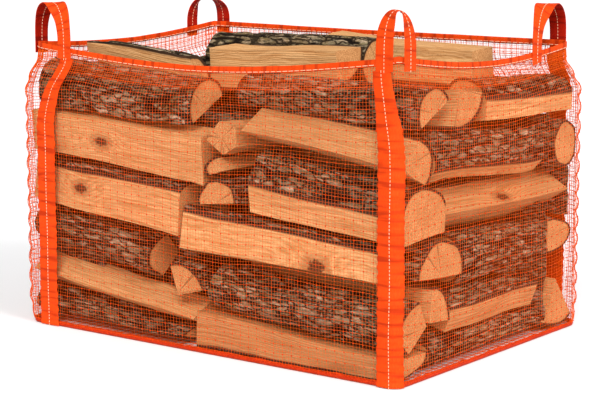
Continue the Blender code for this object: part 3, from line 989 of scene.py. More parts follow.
HIDDEN = {"step_around": 8.0, "step_along": 12.0, "cap_shares": (0.1, 0.4)}
LOGS = (
    # The long front side, left of the middle gap, from the top down
    *row_of_logs(
        "front_left_log", LONG,
        (Cut.HALF, -28, (-336, -22), (-246, -166), (350, 424), (336, 402), 0.8),
        (Cut.SLAB, 82, (-349, 2), (-249, -168), (278, 347), (250, 333), 0.2, 0.15,
         Knot((-0.202, -0.246, 0.300), 0.0100)),
        (Cut.PLANK, -4, (-350, -44), (-250, -170), (202, 274), (170, 247), 0.2, 0.2,
         Knot((-0.248, -0.246, 0.223), 0.0100)),
        (Cut.THIRD, -84, (-348, -108), (-248, -168), (125, 198), (95, 166), 0.3),
        (Cut.SLAB, 128, (-350, -14), (-250, -172), (66, 122), (30, 70), 0.3, 0.2),
        (Cut.HALF, -80, (-350, -40), (-247, -166), (6, 62), (6, 28), 0.2),
    ),
    # The long front side, right of the gap
    *row_of_logs(
        "front_right_log", LONG,
        (Cut.HALF, -30, (34, 350), (-206, -126), (368, 414), (348, 404), 0.4),
        (Cut.QUARTER, 84, (76, 350), (-247, -162), (312, 365), (272, 342), 0.3, 0.4),
        (Cut.FLITCH, -4, (84, 349), (-246, -132), (216, 306), (192, 267), 0.3, 0.1),
        (Cut.PLANK, 8, (-40, 318), (-250, -206), (140, 216), (132, 188), 0.2, 0.0,
         Knot((0.211, -0.248, 0.152), 0.0110)),
        (Cut.THIRD, -76, (12, 347), (-247, -172), (64, 134), (38, 108), 0.9, 0.2),
        (Cut.QUARTER, 140, (-10, 345), (-248, -166), (6, 60), (6, 38), 0.2, 0.7),
    ),
    # Logs that lie the other way, whose ends show in the gap
    *row_of_logs(
        "gap_log", SHORT,
        (Cut.BLOCK, 10, (-246, 80), (10, 70), (297, 347), (292, 341)),
        (Cut.QUARTER, -70, (-244, 70), (5, 46), (264, 293), (258, 290)),
        (Cut.HALF, -6, (-248, 82), (-8, 66), (221, 262), (196, 255)),
        (Cut.QUARTER, 30, (-248, 78), (-62, 6), (80, 128), (80, 134)),
    ),
    # The short right side, from the top down
    *row_of_logs(
        "right_side_log", SHORT,
        (Cut.FLITCH, -4, (-24, 232), (272, 351), (340, 408), (338, 396), 0.4, 0.1),
        (Cut.FLITCH, 40, (-156, 152), (274, 350), (269, 336), (257, 334)),
        (Cut.QUARTER, -88, (-126, 226), (270, 351), (190, 258), (186, 254), 0.3, 0.4,
         Knot((0.348, 0.048, 0.248), 0.0100)),
        (Cut.ROUND, 40, (-80, 164), (276, 350), (112, 186), (106, 182)),
        (Cut.SLAB, 12, (-114, 134), (272, 351), (52, 108), (50, 104), 0.3, 0.5),
        (Cut.HALF, 66, (-160, 158), (270, 349), (6, 49), (6, 47)),
    ),
    *row_of_logs(
        "corner_log", LONG,
        (Cut.HALF, 4, (60, 350), (-202, -84), (140, 192), (132, 188)),
        (Cut.QUARTER, 52, (30, 349), (-170, -116), (74, 134), (72, 130)),
    ),
    # The long back side
    *row_of_logs(
        "back_right_log", LONG,
        (Cut.HALF, 24, (-2, 266), (176, 240), (338, 398), (338, 392)),
        (Cut.ROUND, 0, (20, 350), (172, 250), (258, 334), (259, 335), 0.6),
        (Cut.SLAB, -84, (-10, 262), (172, 249), (190, 254), (188, 254), 0.3, 0.1),
        (Cut.HALF, 90, (-2, 346), (172, 250), (100, 186), (126, 182)),
        (Cut.WEDGE, 176, (14, 348), (164, 249), (6, 96), (6, 80), 0.3, 0.4),
    ),
    *row_of_logs(
        "back_left_log", LONG,
        (Cut.HALF, 70, (-342, -12), (174, 238), (334, 402), (330, 394), 0.5),
        (Cut.SLAB, -92, (-349, -14), (172, 250), (236, 328), (232, 324), 0.3, 0.0),
        (Cut.ROUND, 30, (-348, -22), (170, 249), (122, 232), (124, 228)),
        (Cut.QUARTER, 52, (-349, -8), (170, 249), (6, 118), (6, 120), 0.3, 0.2),
    ),
    # The short left side
    *row_of_logs(
        "left_side_log", SHORT,
        (Cut.HALF, -48, (-160, 168), (-350, -272), (346, 414), (342, 408), 0.5),
        (Cut.SLAB, -90, (-162, 164), (-350, -270), (266, 342), (270, 338), 0.3, 0.1),
        (Cut.ROUND, 0, (-164, 160), (-350, -268), (188, 262), (186, 266)),
        (Cut.QUARTER, 92, (-162, 164), (-350, -268), (104, 184), (98, 182), 0.3, 0.2),
        (Cut.HALF, -74, (-160, 160), (-349, -266), (6, 98), (6, 94)),
    ),
    # The logs inside
    *row_of_logs(
        "middle_log", SHORT,
        (Cut.HALF, 0, (-158, 164), (-262, -4), (254, 346), (252, 342)),
        (Cut.ROUND, 0, (-160, 162), (-262, -14), (140, 250), (142, 248)),
        (Cut.HALF, 172, (-160, 164), (-262, -68), (6, 126), (6, 130)),
        (Cut.HALF, 0, (-126, 166), (78, 264), (196, 334), (194, 336)),
        (Cut.HALF, 180, (-78, 160), (12, 262), (6, 188), (6, 186)),
        **HIDDEN,
    ),
    # The top layer, which shows in the bag's mouth
    *row_of_logs(
        "top_log", LONG,
        (Cut.QUARTER, 42, (-314, -100), (-158, -98), (420, 446), (364, 437), 0.3, 0.1),
        (Cut.QUARTER, 134, (-110, 134), (-96, -28), (376, 446), (386, 446), 0.3, 0.1),
        (Cut.ROUND, 0, (-180, 130), (-24, 60), (380, 458), (378, 460), 0.9),
        (Cut.SLAB, 172, (-14, 268), (68, 132), (384, 466), (372, 443), 0.3, 0.1),
        (Cut.SLAB, 84, (-262, 40), (134, 172), (364, 428), (366, 444), 0.3, 0.3),
        (Cut.QUARTER, 148, (22, 350), (-114, -34), (344, 370), (342, 398), 0.3, 0.2),
    ),
    LogPiece("top_log_7", Cut.HALF, 8, SHORT, (-92, 130), (-268, -184), (350, 420), (348, 414), 0.5),
)


@dataclass(frozen=True)
class BarkSlab:
    """A slab of bark that came off a log and slid down on edge between two rows, in millimetres."""

    name: str
    lie: Lie
    depth: float
    run: tuple
    rise: tuple
    thick: float = 3.0
    step: float = 7.0

    def build(self, number: int, bark: Material) -> Object:
        """Makes the slab with a ragged edge.

        Args:
            number: The slab's place in the list.
            bark: Its finish.

        Returns:
            The finished object.
        """
        wide, high = (max(4, round((span[1] - span[0]) / self.step)) for span in (self.run, self.rise))
        u, v = np.meshgrid(np.linspace(0, 1, wide), np.linspace(0, 1, high))
        spots = np.array([u * wide * 0.3, v * high * 0.3, np.full_like(u, number * 5.1)])
        ragged = noise_at(*spots * 1.7, number + 41) * 5
        rough = noise_at(*spots * 1.3, number + 42) * 0.9
        run = self.run[0] + (self.run[1] - self.run[0]) * u + ragged * np.where((u == 0) | (u == 1), 1, 0.2)
        rise = self.rise[0] + (self.rise[1] - self.rise[0]) * v + ragged * (v == 1)
        middle, half = np.full_like(u, self.depth) + rough, self.thick / 2
        sheets = [np.stack([run, middle + out, rise], axis=-1).reshape(-1, 3) for out in (-half, half)]
        points = np.concatenate(sheets) * MM
        faces = grid_faces(high, wide, ring=False).tolist()
        faces += (grid_faces(high, wide, ring=False, first=wide * high)[:, ::-1]).tolist()
        order = np.arange(wide * high).reshape(high, wide)
        loop = np.concatenate([order[0, :-1], order[:-1, -1], order[-1, :0:-1], order[:0:-1, 0]])
        nxt = np.roll(loop, -1)
        faces += np.stack([nxt, loop, loop + wide * high, nxt + wide * high], axis=-1).tolist()
        if self.lie is Lie.SHORT:
            points = points[:, [1, 0, 2]]
        obj = mesh_object(self.name, points, face_outwards(points, faces))
        obj.data.materials.append(bark)
        store(obj, "log_place", points)
        store(obj, "relief", np.tile(0.3 + 0.5 * np.abs(rough.ravel()), 2))
        store(obj, "log_tone", np.tile([0.3, 0.2, number * SEED_STEP], (len(points), 1)))
        dress(obj, "bark_log")
        return obj


SLABS = (
    BarkSlab("loose_bark_front_left", LONG, -165, (-345, -70), (10, 344)),
    BarkSlab("loose_bark_front_right", LONG, -121.5, (84, 262), (8, 200), 2.4),
    BarkSlab("loose_bark_right", SHORT, 267, (-110, 160), (10, 350)),
    BarkSlab("loose_bark_back_low", LONG, 168, (268, 344), (8, 206)),
    BarkSlab("loose_bark_back_high", LONG, 168, (270, 346), (262, 345)),
    BarkSlab("loose_bark_back_corner", LONG, 236, (268, 344), (178, 256), 5.0),
    BarkSlab("loose_bark_front_corner", LONG, -212, (-344, -230), (92, 146)),
    BarkSlab("loose_bark_gap", LONG, -158, (-66, 12), (6, 78)),
    BarkSlab("loose_bark_left", SHORT, -265, (-150, 160), (10, 340)),
    BarkSlab("loose_bark_back_left", LONG, 167, (-340, -10), (10, 330), 2.0),
)


@dataclass
class Firewood:
    """All the logs in the bag, and the loose bark between them."""

    logs: tuple = LOGS
    slabs: tuple = SLABS

    def build(self) -> list:
        """Makes every log and every slab of bark, and reports them.

        Returns:
            The finished objects.
        """
        finishes = (BarkFinish().make(), SplitFinish().make(), SawnFinish().make())
        made = [piece.build(number, finishes) for number, piece in enumerate(self.logs)]
        return made + [slab.build(number, finishes[0]) for number, slab in enumerate(self.slabs)]


# The bag


class Side(Enum):
    """The bag's sides, anticlockwise from above."""

    RIGHT = 0
    BACK = 1
    LEFT = 2
    FRONT = 3


@dataclass(frozen=True)
class BagForm:
    """The filled bag's form in metres: upright walls that lean in to a rim that sags between its corners."""

    wall_x: float = 0.3575
    wall_y: float = 0.2575
    rim_corners: tuple = ((0.354, -0.255), (0.352, 0.222), (-0.352, 0.202), (-0.340, -0.252))
    rim_height: float = 0.450
    rim_lift: tuple = (0.000, 0.003, 0.018, 0.000)
    rim_sag: tuple = (0.018, 0.001, 0.012, 0.025)
    shoulder: float = 0.372
    neck: float = 0.430
    corner_radius: float = 0.022
    floor_chamfer: float = 0.006
    hem_height: float = 0.010

    def corner(self, number: int, share: Array) -> Array:
        """Returns a corner's ground place for each share of the lean."""
        signs = ((1, -1), (1, 1), (-1, 1), (-1, -1))[number % 4]
        wall = np.array(signs) * (self.wall_x, self.wall_y)
        return wall + (np.array(self.rim_corners[number % 4]) - wall) * share[..., None]

    def _rounded(
        self, before: Array, corner: Array, after: Array, place: Array, offset: Array
    ) -> Array:
        """Points on a corner's arc, where place runs from minus to plus its radius."""

        def unit(vector: Array) -> Array:
            """Returns vectors of length 1."""
            return vector / np.linalg.norm(vector, axis=-1, keepdims=True)

        inward = unit(unit(before - corner) + unit(after - corner))
        centre = corner + inward * self.corner_radius * sqrt(2.0)
        angle = place / self.corner_radius * pi / 4
        turned = np.stack(
            [
                -inward[..., 0] * np.cos(angle) + inward[..., 1] * np.sin(angle),
                -inward[..., 0] * np.sin(angle) - inward[..., 1] * np.cos(angle),
            ],
            axis=-1,
        )
        return centre + turned * (self.corner_radius + offset)[..., None]

    def point(self, side: int, along: Numbers, height: Numbers, offset: Numbers = 0.0) -> Array:
        """Points on the net's outer face.

        Args:
            side: Number of the side, counted on past 3.
            along: 0 to 1 from the side's first corner to its last.
            height: Height above the ground.
            offset: How far they stand out from the net.

        Returns:
            Positions in metres.
        """
        along, height, offset = np.broadcast_arrays(*(np.asarray(value, float) for value in (along, height, offset)))
        share = smooth_step((height - self.shoulder) / (self.neck - self.shoulder))
        before, first, last, after = (self.corner(side + k, share) for k in (-1, 0, 1, 2))
        length = np.linalg.norm(last - first, axis=-1)
        direction = (last - first) / length[..., None]
        outward = np.stack([direction[..., 1], -direction[..., 0]], axis=-1)
        place = along * length
        ground = first + direction * place[..., None] + outward * offset[..., None]
        near_first = (place < self.corner_radius)[..., None]
        near_last = (length - place < self.corner_radius)[..., None]
        ground = np.where(near_first, self._rounded(before, first, last, place, offset), ground)
        ground = np.where(near_last, self._rounded(first, last, after, place - length, offset), ground)
        return np.concatenate([ground, height[..., None]], axis=-1)

    def rim(self, side: int, along: Numbers) -> Array:
        """Returns the height of the rim's upper edge."""
        side %= 4
        lift = self.rim_lift[side] + (self.rim_lift[(side + 1) % 4] - self.rim_lift[side]) * np.asarray(along)
        return self.rim_height + lift - self.rim_sag[side] * np.sin(pi * np.asarray(along))

    def rim_length(self, side: int) -> float:
        """Returns a side's length at the rim."""
        ends = np.array(self.rim_corners)
        return float(np.linalg.norm(ends[(side + 1) % 4] - ends[side % 4]))

    def facing(self, side: int) -> Array:
        """Returns the way a side faces at the rim."""
        ends = np.array(self.rim_corners)
        run = ends[(side + 1) % 4] - ends[side % 4]
        return np.array([run[1], -run[0], 0.0]) / np.linalg.norm(run)


FORM = BagForm()


def knit_tree() -> Tree:
    """The net: lines become yarn, and points marked as crossings get a knot."""
    tree = bpy.data.node_groups.new("knitted net", "GeometryNodeTree")
    add_sockets(
        tree,
        "INPUT",
        {
            "Lines": "NodeSocketGeometry",
            "Thickness": (FLOAT, 1.0),
            "Knot Radius": (FLOAT, 0.00150),
            "Sides": ("NodeSocketInt", 3),
            "Yarn": "NodeSocketMaterial",
            "Knot Yarn": "NodeSocketMaterial",
        },
    )
    add_sockets(tree, "OUTPUT", {"Net": "NodeSocketGeometry"})
    maker = TreeMaker(tree)
    given = maker.add("NodeGroupInput").outputs
    radius = maker.first("GeometryNodeInputNamedAttribute", {"Name": "yarn_radius"}, data_type="FLOAT")
    radius = maker.times(radius, given["Thickness"])
    curve = maker.first("GeometryNodeMeshToCurve", {"Mesh": given["Lines"]})
    ring = maker.first("GeometryNodeCurvePrimitiveCircle", {"Resolution": given["Sides"], "Radius": 1.0})
    inputs = {"Curve": curve, "Profile Curve": ring, "Scale": radius, "Fill Caps": True}
    yarns = maker.first("GeometryNodeCurveToMesh", inputs)
    crossing = maker.first("GeometryNodeInputNamedAttribute", {"Name": "crossing"}, data_type="BOOLEAN")
    spots = maker.first("GeometryNodeMeshToPoints", {"Mesh": given["Lines"], "Selection": crossing})
    bead = maker.add("GeometryNodeMeshUVSphere", {"Segments": 4, "Rings": 2, "Radius": given["Knot Radius"]})
    knots = maker.add("GeometryNodeInstanceOnPoints", {"Points": spots, "Instance": bead.outputs["Mesh"]})
    both = maker.add("GeometryNodeJoinGeometry")
    for part, material in ((yarns, "Yarn"), (knots.outputs[0], "Knot Yarn")):
        solid = maker.first("GeometryNodeRealizeInstances", {0: part})
        smooth = maker.first("GeometryNodeSetShadeSmooth", {"Geometry": solid})
        done = maker.first("GeometryNodeSetMaterial", {"Geometry": smooth, "Material": given[material]})
        tree.links.new(done, both.inputs[0])
    done = both.outputs[0]
    maker.add("NodeGroupOutput", {0: done})
    return tree


def stitch_tree() -> Tree:
    """A row of stitches along lines: short rods of thread with gaps between them."""
    tree = bpy.data.node_groups.new("stitch row", "GeometryNodeTree")
    add_sockets(
        tree,
        "INPUT",
        {
            "Lines": "NodeSocketGeometry",
            "Pitch": (FLOAT, 0.005),
            "Length": (FLOAT, 0.003),
            "Radius": (FLOAT, 0.0005),
            "Thread": "NodeSocketMaterial",
        },
    )
    add_sockets(tree, "OUTPUT", {"Stitches": "NodeSocketGeometry"})
    maker = TreeMaker(tree)
    given = maker.add("NodeGroupInput").outputs
    curve = maker.first("GeometryNodeMeshToCurve", {"Mesh": given["Lines"]})
    inputs = {"Curve": curve, "Length": given["Pitch"]}
    even = maker.first("GeometryNodeResampleCurve", inputs, mode="LENGTH")
    tangent = maker.first("GeometryNodeInputTangent")
    rod = maker.add("GeometryNodeMeshCylinder", {"Vertices": 6, "Radius": given["Radius"], "Depth": given["Length"]})
    turn = maker.first("FunctionNodeAlignRotationToVector", {"Vector": tangent}, axis="Z")
    inputs = {"Points": even, "Instance": rod.outputs["Mesh"], "Rotation": turn}
    rods = maker.first("GeometryNodeInstanceOnPoints", inputs)
    solid = maker.first("GeometryNodeRealizeInstances", {0: rods})
    done = maker.first("GeometryNodeSetMaterial", {"Geometry": solid, "Material": given["Thread"]})
    maker.add("NodeGroupOutput", {0: done})
    return tree


# The net's yarns, by their radius
FINE, CHAIN, DOUBLED = 0.00021, 0.00031, 0.00054


@dataclass
class LineSet:
    """Lines for a geometry tree to follow, gathered one by one."""

    def __post_init__(self) -> None:
        """Starts with no line."""
        self.points: list = []
        self.edges: list = []
        self.radius: list = []
        self.crossing: list = []
        self.total = 0

    def add(
        self, line: Array, radius: float = CHAIN, crossing: Array | None = None, closed: bool = False
    ) -> None:
        """Adds a line.

        Args:
            line: Its points.
            radius: The yarn's radius.
            crossing: Which points have a knot.
            closed: Whether it ends where it starts.
        """
        count = len(line)
        first = np.arange(self.total, self.total + count - (0 if closed else 1))
        second = first + 1
        if closed:
            second[-1] = self.total
        self.points.append(line)
        self.edges += np.stack([first, second], axis=1).tolist()
        self.radius.append(np.full(count, radius))
        self.crossing.append(np.zeros(count, bool) if crossing is None else crossing)
        self.total += count

    def make(self, name: str) -> Object:
        """Returns an object that holds the lines, with their marks."""
        obj = mesh_object(name, np.concatenate(self.points), [], self.edges)
        store(obj, "yarn_radius", np.concatenate(self.radius))
        crossing = obj.data.attributes.new("crossing", "BOOLEAN", "POINT")
        crossing.data.foreach_set("value", np.concatenate(self.crossing))
        return obj


@dataclass
class Net:
    """The knitted net: four wall panels and a floor panel."""

    chain_pitch: float = 0.0155
    row_pitch: float = 0.0150
    fine_rows: int = 3
    top_band: float = 0.034
    gather_pitch: float = 0.0042
    gather_rows: float = 0.0032
    corner_band: float = 0.020
    corner_pitch: float = 0.0048
    slack_band: float = 0.058
    slack_pitch: float = 0.0100
    slack_rows: float = 0.0078
    yarn_share: float = 0.36
    floor_yarn_share: float = 0.305
    floor_rows: int = 35
    floor_steps: int = 47
    floor_height: float = 0.0012
    floor_edge: float = 0.010
    floor_thickness: float = 2.05
    puff: float = 0.0050
    billow: float = 0.0075
    stray: float = 0.0062
    fine_stray: float = 0.0012
    puff_pitch: float = 0.030
    puff_reach: float = 0.060

    def warp(self, side: int, along: Array, height: Array) -> tuple:
        """How the filled net is pulled out of square.

        Args:
            side: Number of the side.
            along: Places along the side.
            height: Heights before the pull.

        Returns:
            Places along the side, heights and how far the net stands out.
        """
        length = FORM.rim_length(side)
        top = FORM.rim(side, along) - FORM.hem_height
        level = height / (FORM.rim_height - FORM.hem_height)
        sag = (top - (FORM.rim_height - FORM.hem_height)) * level**3
        spots = np.array([along * length * 8, height * 8, np.full_like(height, side * 3.0)])
        free = np.minimum(1.0, np.minimum(height, top - height) / 0.04).clip(0, 1)
        edge = np.minimum(1.0, np.minimum(along, 1 - along) * length / 0.03).clip(0, 1)
        pull = noise_at(*spots, 71) * self.stray + noise_at(*spots * 3.1, 73) * self.fine_stray
        lift = noise_at(*spots, 72) * self.stray + noise_at(*spots * 3.1, 74) * self.fine_stray
        puffed = np.abs(np.sin(pi * height / self.puff_pitch)) * self.puff * free
        from_corner = (1 - along) * length
        if side == Side.LEFT.value:
            from_corner = np.minimum(from_corner, along * length)
        reach = 1 - smooth_step(from_corner / self.puff_reach)
        stands = puffed * reach if side in (Side.RIGHT.value, Side.LEFT.value) else np.zeros_like(puffed)
        # At the corner of the left and the front side the net hangs loose
        loose = along * length / 0.022 if side == Side.FRONT.value else (1 - along) * length / self.puff_reach
        if side in (Side.FRONT.value, Side.LEFT.value):
            billow = self.billow * (0.45 + 0.55 * np.abs(np.sin(pi * height / self.puff_pitch))) * free
            stands = np.maximum(stands, billow * (1 - smooth_step(loose)))
        return along + pull * free * edge / length, height + sag + lift * free, stands - 0.0008

    def panel(self, side: Side) -> LineSet:
        """The lines of one wall panel.

        Args:
            side: Which wall.

        Returns:
            Its chains, rows and fine rows.
        """
        lines = LineSet()
        number = side.value
        length = FORM.rim_length(number)
        top = FORM.rim_height - FORM.hem_height + 0.004
        rows = np.arange(self.row_pitch * 0.5, top - 0.004, self.row_pitch)
        chains = (np.arange(round(length / self.chain_pitch)) + 0.5) / round(length / self.chain_pitch)
        between = self.row_pitch / self.fine_rows
        heights = np.arange(0.002, top, between)
        nearest = np.abs(heights[:, None] - rows[None]).min(axis=1) < between * 0.4
        for place in chains:
            self._column(lines, number, place, heights, crossing=nearest)
        steps = round(length / (self.chain_pitch / 2))
        along = np.linspace(0, 1, steps + 1)
        for height in rows:
            self._row(lines, number, along, height)
        third = 1 / (3 * len(chains))
        for place in np.concatenate([chains - third, chains + third]):
            self._column(lines, number, place, heights, FINE)
        coarse = np.linspace(0, 1, round(length / self.chain_pitch) + 1)
        for height in heights[~nearest]:
            self._row(lines, number, coarse, height, FINE)
        # Under the hem and at the corners the net is gathered, and the yarns of the sides that lean in lie doubled
        span = np.linspace(top - self.top_band, top, 9)
        for place in np.linspace(0.003, 0.997, round(length / self.gather_pitch)):
            self._column(lines, number, place, span, FINE)
        for height in np.linspace(top - self.top_band, top - 0.003, round(self.top_band / self.gather_rows)):
            self._row(lines, number, along, height, FINE)
        for first, last in self.corner_bands(side, length):
            for place in np.linspace(first, last, round((last - first) * length / self.corner_pitch)):
                self._column(lines, number, place, heights, DOUBLED)
            for height in np.arange(0.004, top, self.corner_pitch * 1.6):
                self._row(lines, number, np.linspace(first, last, 5), height, DOUBLED)
        if side in (Side.BACK, Side.LEFT):
            for height in np.arange(top - self.slack_band, top, self.slack_rows):
                self._row(lines, number, along, height, DOUBLED)
            span = np.linspace(top - self.slack_band, top, 12)
            for place in np.linspace(0.004, 0.996, round(length / self.slack_pitch)):
                self._column(lines, number, place, span, DOUBLED)
        return lines

    def corner_bands(self, side: Side, length: float) -> list:
        """Returns the stretches along a side where it is gathered at a corner that no strap covers."""
        share = self.corner_band / length
        first, last = (0.0, share), (1 - share, 1.0)
        return {Side.FRONT: [first], Side.RIGHT: [last]}.get(side, [first, last])

    def _column(
        self, lines: LineSet, side: int, place: float, heights: Array, radius: float = CHAIN, **marks
    ) -> None:
        """Adds a yarn that runs up a side."""
        lines.add(self._line(side, np.full(len(heights), place), heights), radius, **marks)

    def _row(self, lines: LineSet, side: int, along: Array, height: float, radius: float = CHAIN) -> None:
        """Adds a yarn that runs along a side."""
        lines.add(self._line(side, along, np.full(len(along), height)), radius)

    def _line(self, side: int, along: Array, height: Array) -> Array:
        """Returns the points of one yarn on a side, pulled as the filled net is."""
        along, height, stands = self.warp(side, along, height)
        inset = FORM.floor_chamfer * 0.8 * np.clip(1 - height / FORM.floor_chamfer, 0, 1)
        return FORM.point(side, along, height, stands - inset)

    def floor(self) -> LineSet:
        """Returns the lines of the floor panel, flat on the ground."""
        lines = LineSet()
        x, y = FORM.wall_x - self.floor_edge, FORM.wall_y - self.floor_edge
        for place in np.arange(-x, x, self.chain_pitch):
            span, level = np.linspace(-y, y, self.floor_rows), np.full(self.floor_rows, self.floor_height)
            line = np.stack([np.full_like(span, place), span, level], axis=-1)
            lines.add(line, crossing=np.full(self.floor_rows, True))
        for place in np.linspace(-y, y, self.floor_rows):
            span, level = np.linspace(-x, x, self.floor_steps), np.full(self.floor_steps, self.floor_height)
            lines.add(np.stack([span, np.full_like(span, place), level], axis=-1))
        return lines

    def build(self, yarn: Material, knot: Material) -> list:
        """Knits the panels and dresses them.

        Args:
            yarn: The net's material.
            knot: The material where chains and rows cross.

        Returns:
            The five panels.
        """
        tree = knit_tree()
        made = []
        for side in (Side.FRONT, Side.RIGHT, Side.BACK, Side.LEFT):
            panel = grow(self.panel(side).make(f"net_{side.name.lower()}"), tree, Yarn=yarn, Knot_Yarn=knot)
            width, height = FORM.rim_length(side.value), FORM.rim_height - FORM.hem_height
            made.append((panel, width, height, self.yarn_share))
        under = grow(self.floor().make("net_floor"), tree, Yarn=yarn, Knot_Yarn=knot, Thickness=self.floor_thickness)
        made.append((under, 2 * FORM.wall_x, 2 * FORM.wall_y, self.floor_yarn_share))
        for panel, width, height, share in made:
            dress(panel, "net", "net_bag")
        return [panel for panel, *_ in made]


def band_round_bag(name: str, rows: list, uv: list, material: Material) -> Object:
    """Makes a closed band round the bag.

    Args:
        name: Its name.
        rows: Each row's points round the band's section.
        uv: Each row's places across and along, in metres.
        material: Its finish.

    Returns:
        The object.
    """
    points = np.concatenate(rows)
    count = len(rows[0])
    faces = grid_faces(len(rows), count).tolist()
    last = (len(rows) - 1) * count
    faces += [(last + i, last + (i + 1) % count, (i + 1) % count, i) for i in range(count)]
    obj = mesh_object(name, points, face_outwards(points, faces))
    obj.data.shade_smooth()
    add_uv(obj, np.concatenate(uv))
    obj.data.materials.append(material)
    return obj


@dataclass
class Seam:
    """The rolled seam where the walls meet the floor."""

    height: float = 0.0078
    thickness: float = 0.0040
    allowance: float = 0.0105
    level: float = 0.0042
    inset: float = 0.0026
    step: float = 0.007

    def build(self, material: Material) -> Object:
        """Makes the seam as a band round the foot of the walls.

        Args:
            material: Its finish.

        Returns:
            The finished object.
        """
        turns = np.linspace(0, 2 * pi, 11)[:-1]
        rows, uv = [], []
        run = 0.0
        for side in range(4):
            length = 2 * (FORM.wall_y if side % 2 == 0 else FORM.wall_x)
            count = round(length / self.step)
            for i in range(count):
                along = i / count
                wave = noise_at(run * 95, side, 0.3, 55)
                height = self.level + self.height / 2 * np.sin(turns) * (1 + 0.30 * wave) + 0.0008 * wave
                offset = -self.inset + self.thickness / 2 * np.cos(turns) * (1 - 0.2 * wave)
                rows.append(FORM.point(side, along, np.maximum(height, 0.0006), offset))
                uv.append(np.stack([turns * self.thickness / 2, np.full(len(turns), run)], axis=-1))
                run += length / count
        obj = band_round_bag("net_seam", rows, uv, material)
        dress(obj, "net", "net_bag")
        return obj


@dataclass
class Hem:
    """The tape that is folded over the net's upper edge and stitched through."""

    height: float = 0.010
    spread: float = 0.0030
    cloth: float = 0.0008
    step: float = 0.010
    ripple: float = 0.0005

    def profile(self) -> tuple:
        """The folded tape's section.

        Returns:
            Offsets from the net's face and heights from the rim, round the closed section.
        """
        turn = np.linspace(0, pi, 7)
        half, inner = self.spread / 2, self.spread / 2 - self.cloth
        legs = np.linspace(-self.height, -half, 4)[:-1]
        offset = [np.full(3, half), half * np.cos(turn), np.full(3, -half)]
        height = [legs, half * np.sin(turn) - half, legs[::-1]]
        offset += [np.full(3, -inner), -inner * np.cos(turn), np.full(3, inner)]
        height += [legs, inner * np.sin(turn) - half, legs[::-1]]
        return np.concatenate(offset), np.concatenate(height)

    def build(self, material: Material) -> Object:
        """Makes the hem all round the rim.

        Args:
            material: Its finish.

        Returns:
            The finished object.
        """
        offset, height = self.profile()
        width = np.cumsum(np.hypot(np.diff(offset, prepend=offset[0]), np.diff(height, prepend=height[0])))
        rows, uv = [], []
        run = 0.0
        for side in range(4):
            length = FORM.rim_length(side)
            count = round(length / self.step)
            for i in range(count):
                along = i / count
                wave = noise_at(run * 28, 0.5, side * 2.0, 81)
                curl = noise_at(run * 70, 1.5, side * 2.0, 82)
                level = FORM.rim(side, along) + height * (1 + 0.07 * curl) - 0.0008 * (1 - wave) * 0.5
                lean = offset - 0.00075 + self.ripple * wave + 0.0006 * curl * (-height / self.height)
                rows.append(FORM.point(side, along, level, lean))
                uv.append(np.stack([width, np.full(len(width), run)], axis=-1))
                run += length / count
        obj = band_round_bag("hem_tape", rows, uv, material)
        dress(obj, "hem", "rim_hem")
        return obj

    def stitch_lines(self) -> LineSet:
        """Returns the lines of the stitches along both faces of the hem, near its lower edge."""
        lines = LineSet()
        for offset in (self.spread / 2 - 0.0003, -self.spread / 2 - 0.0012):
            line = []
            for side in range(4):
                count = round(FORM.rim_length(side) / self.step)
                along = np.arange(count) / count
                line.append(FORM.point(side, along, FORM.rim(side, along) - self.height * 0.82, offset))
            lines.add(np.concatenate(line), closed=True)
        return lines


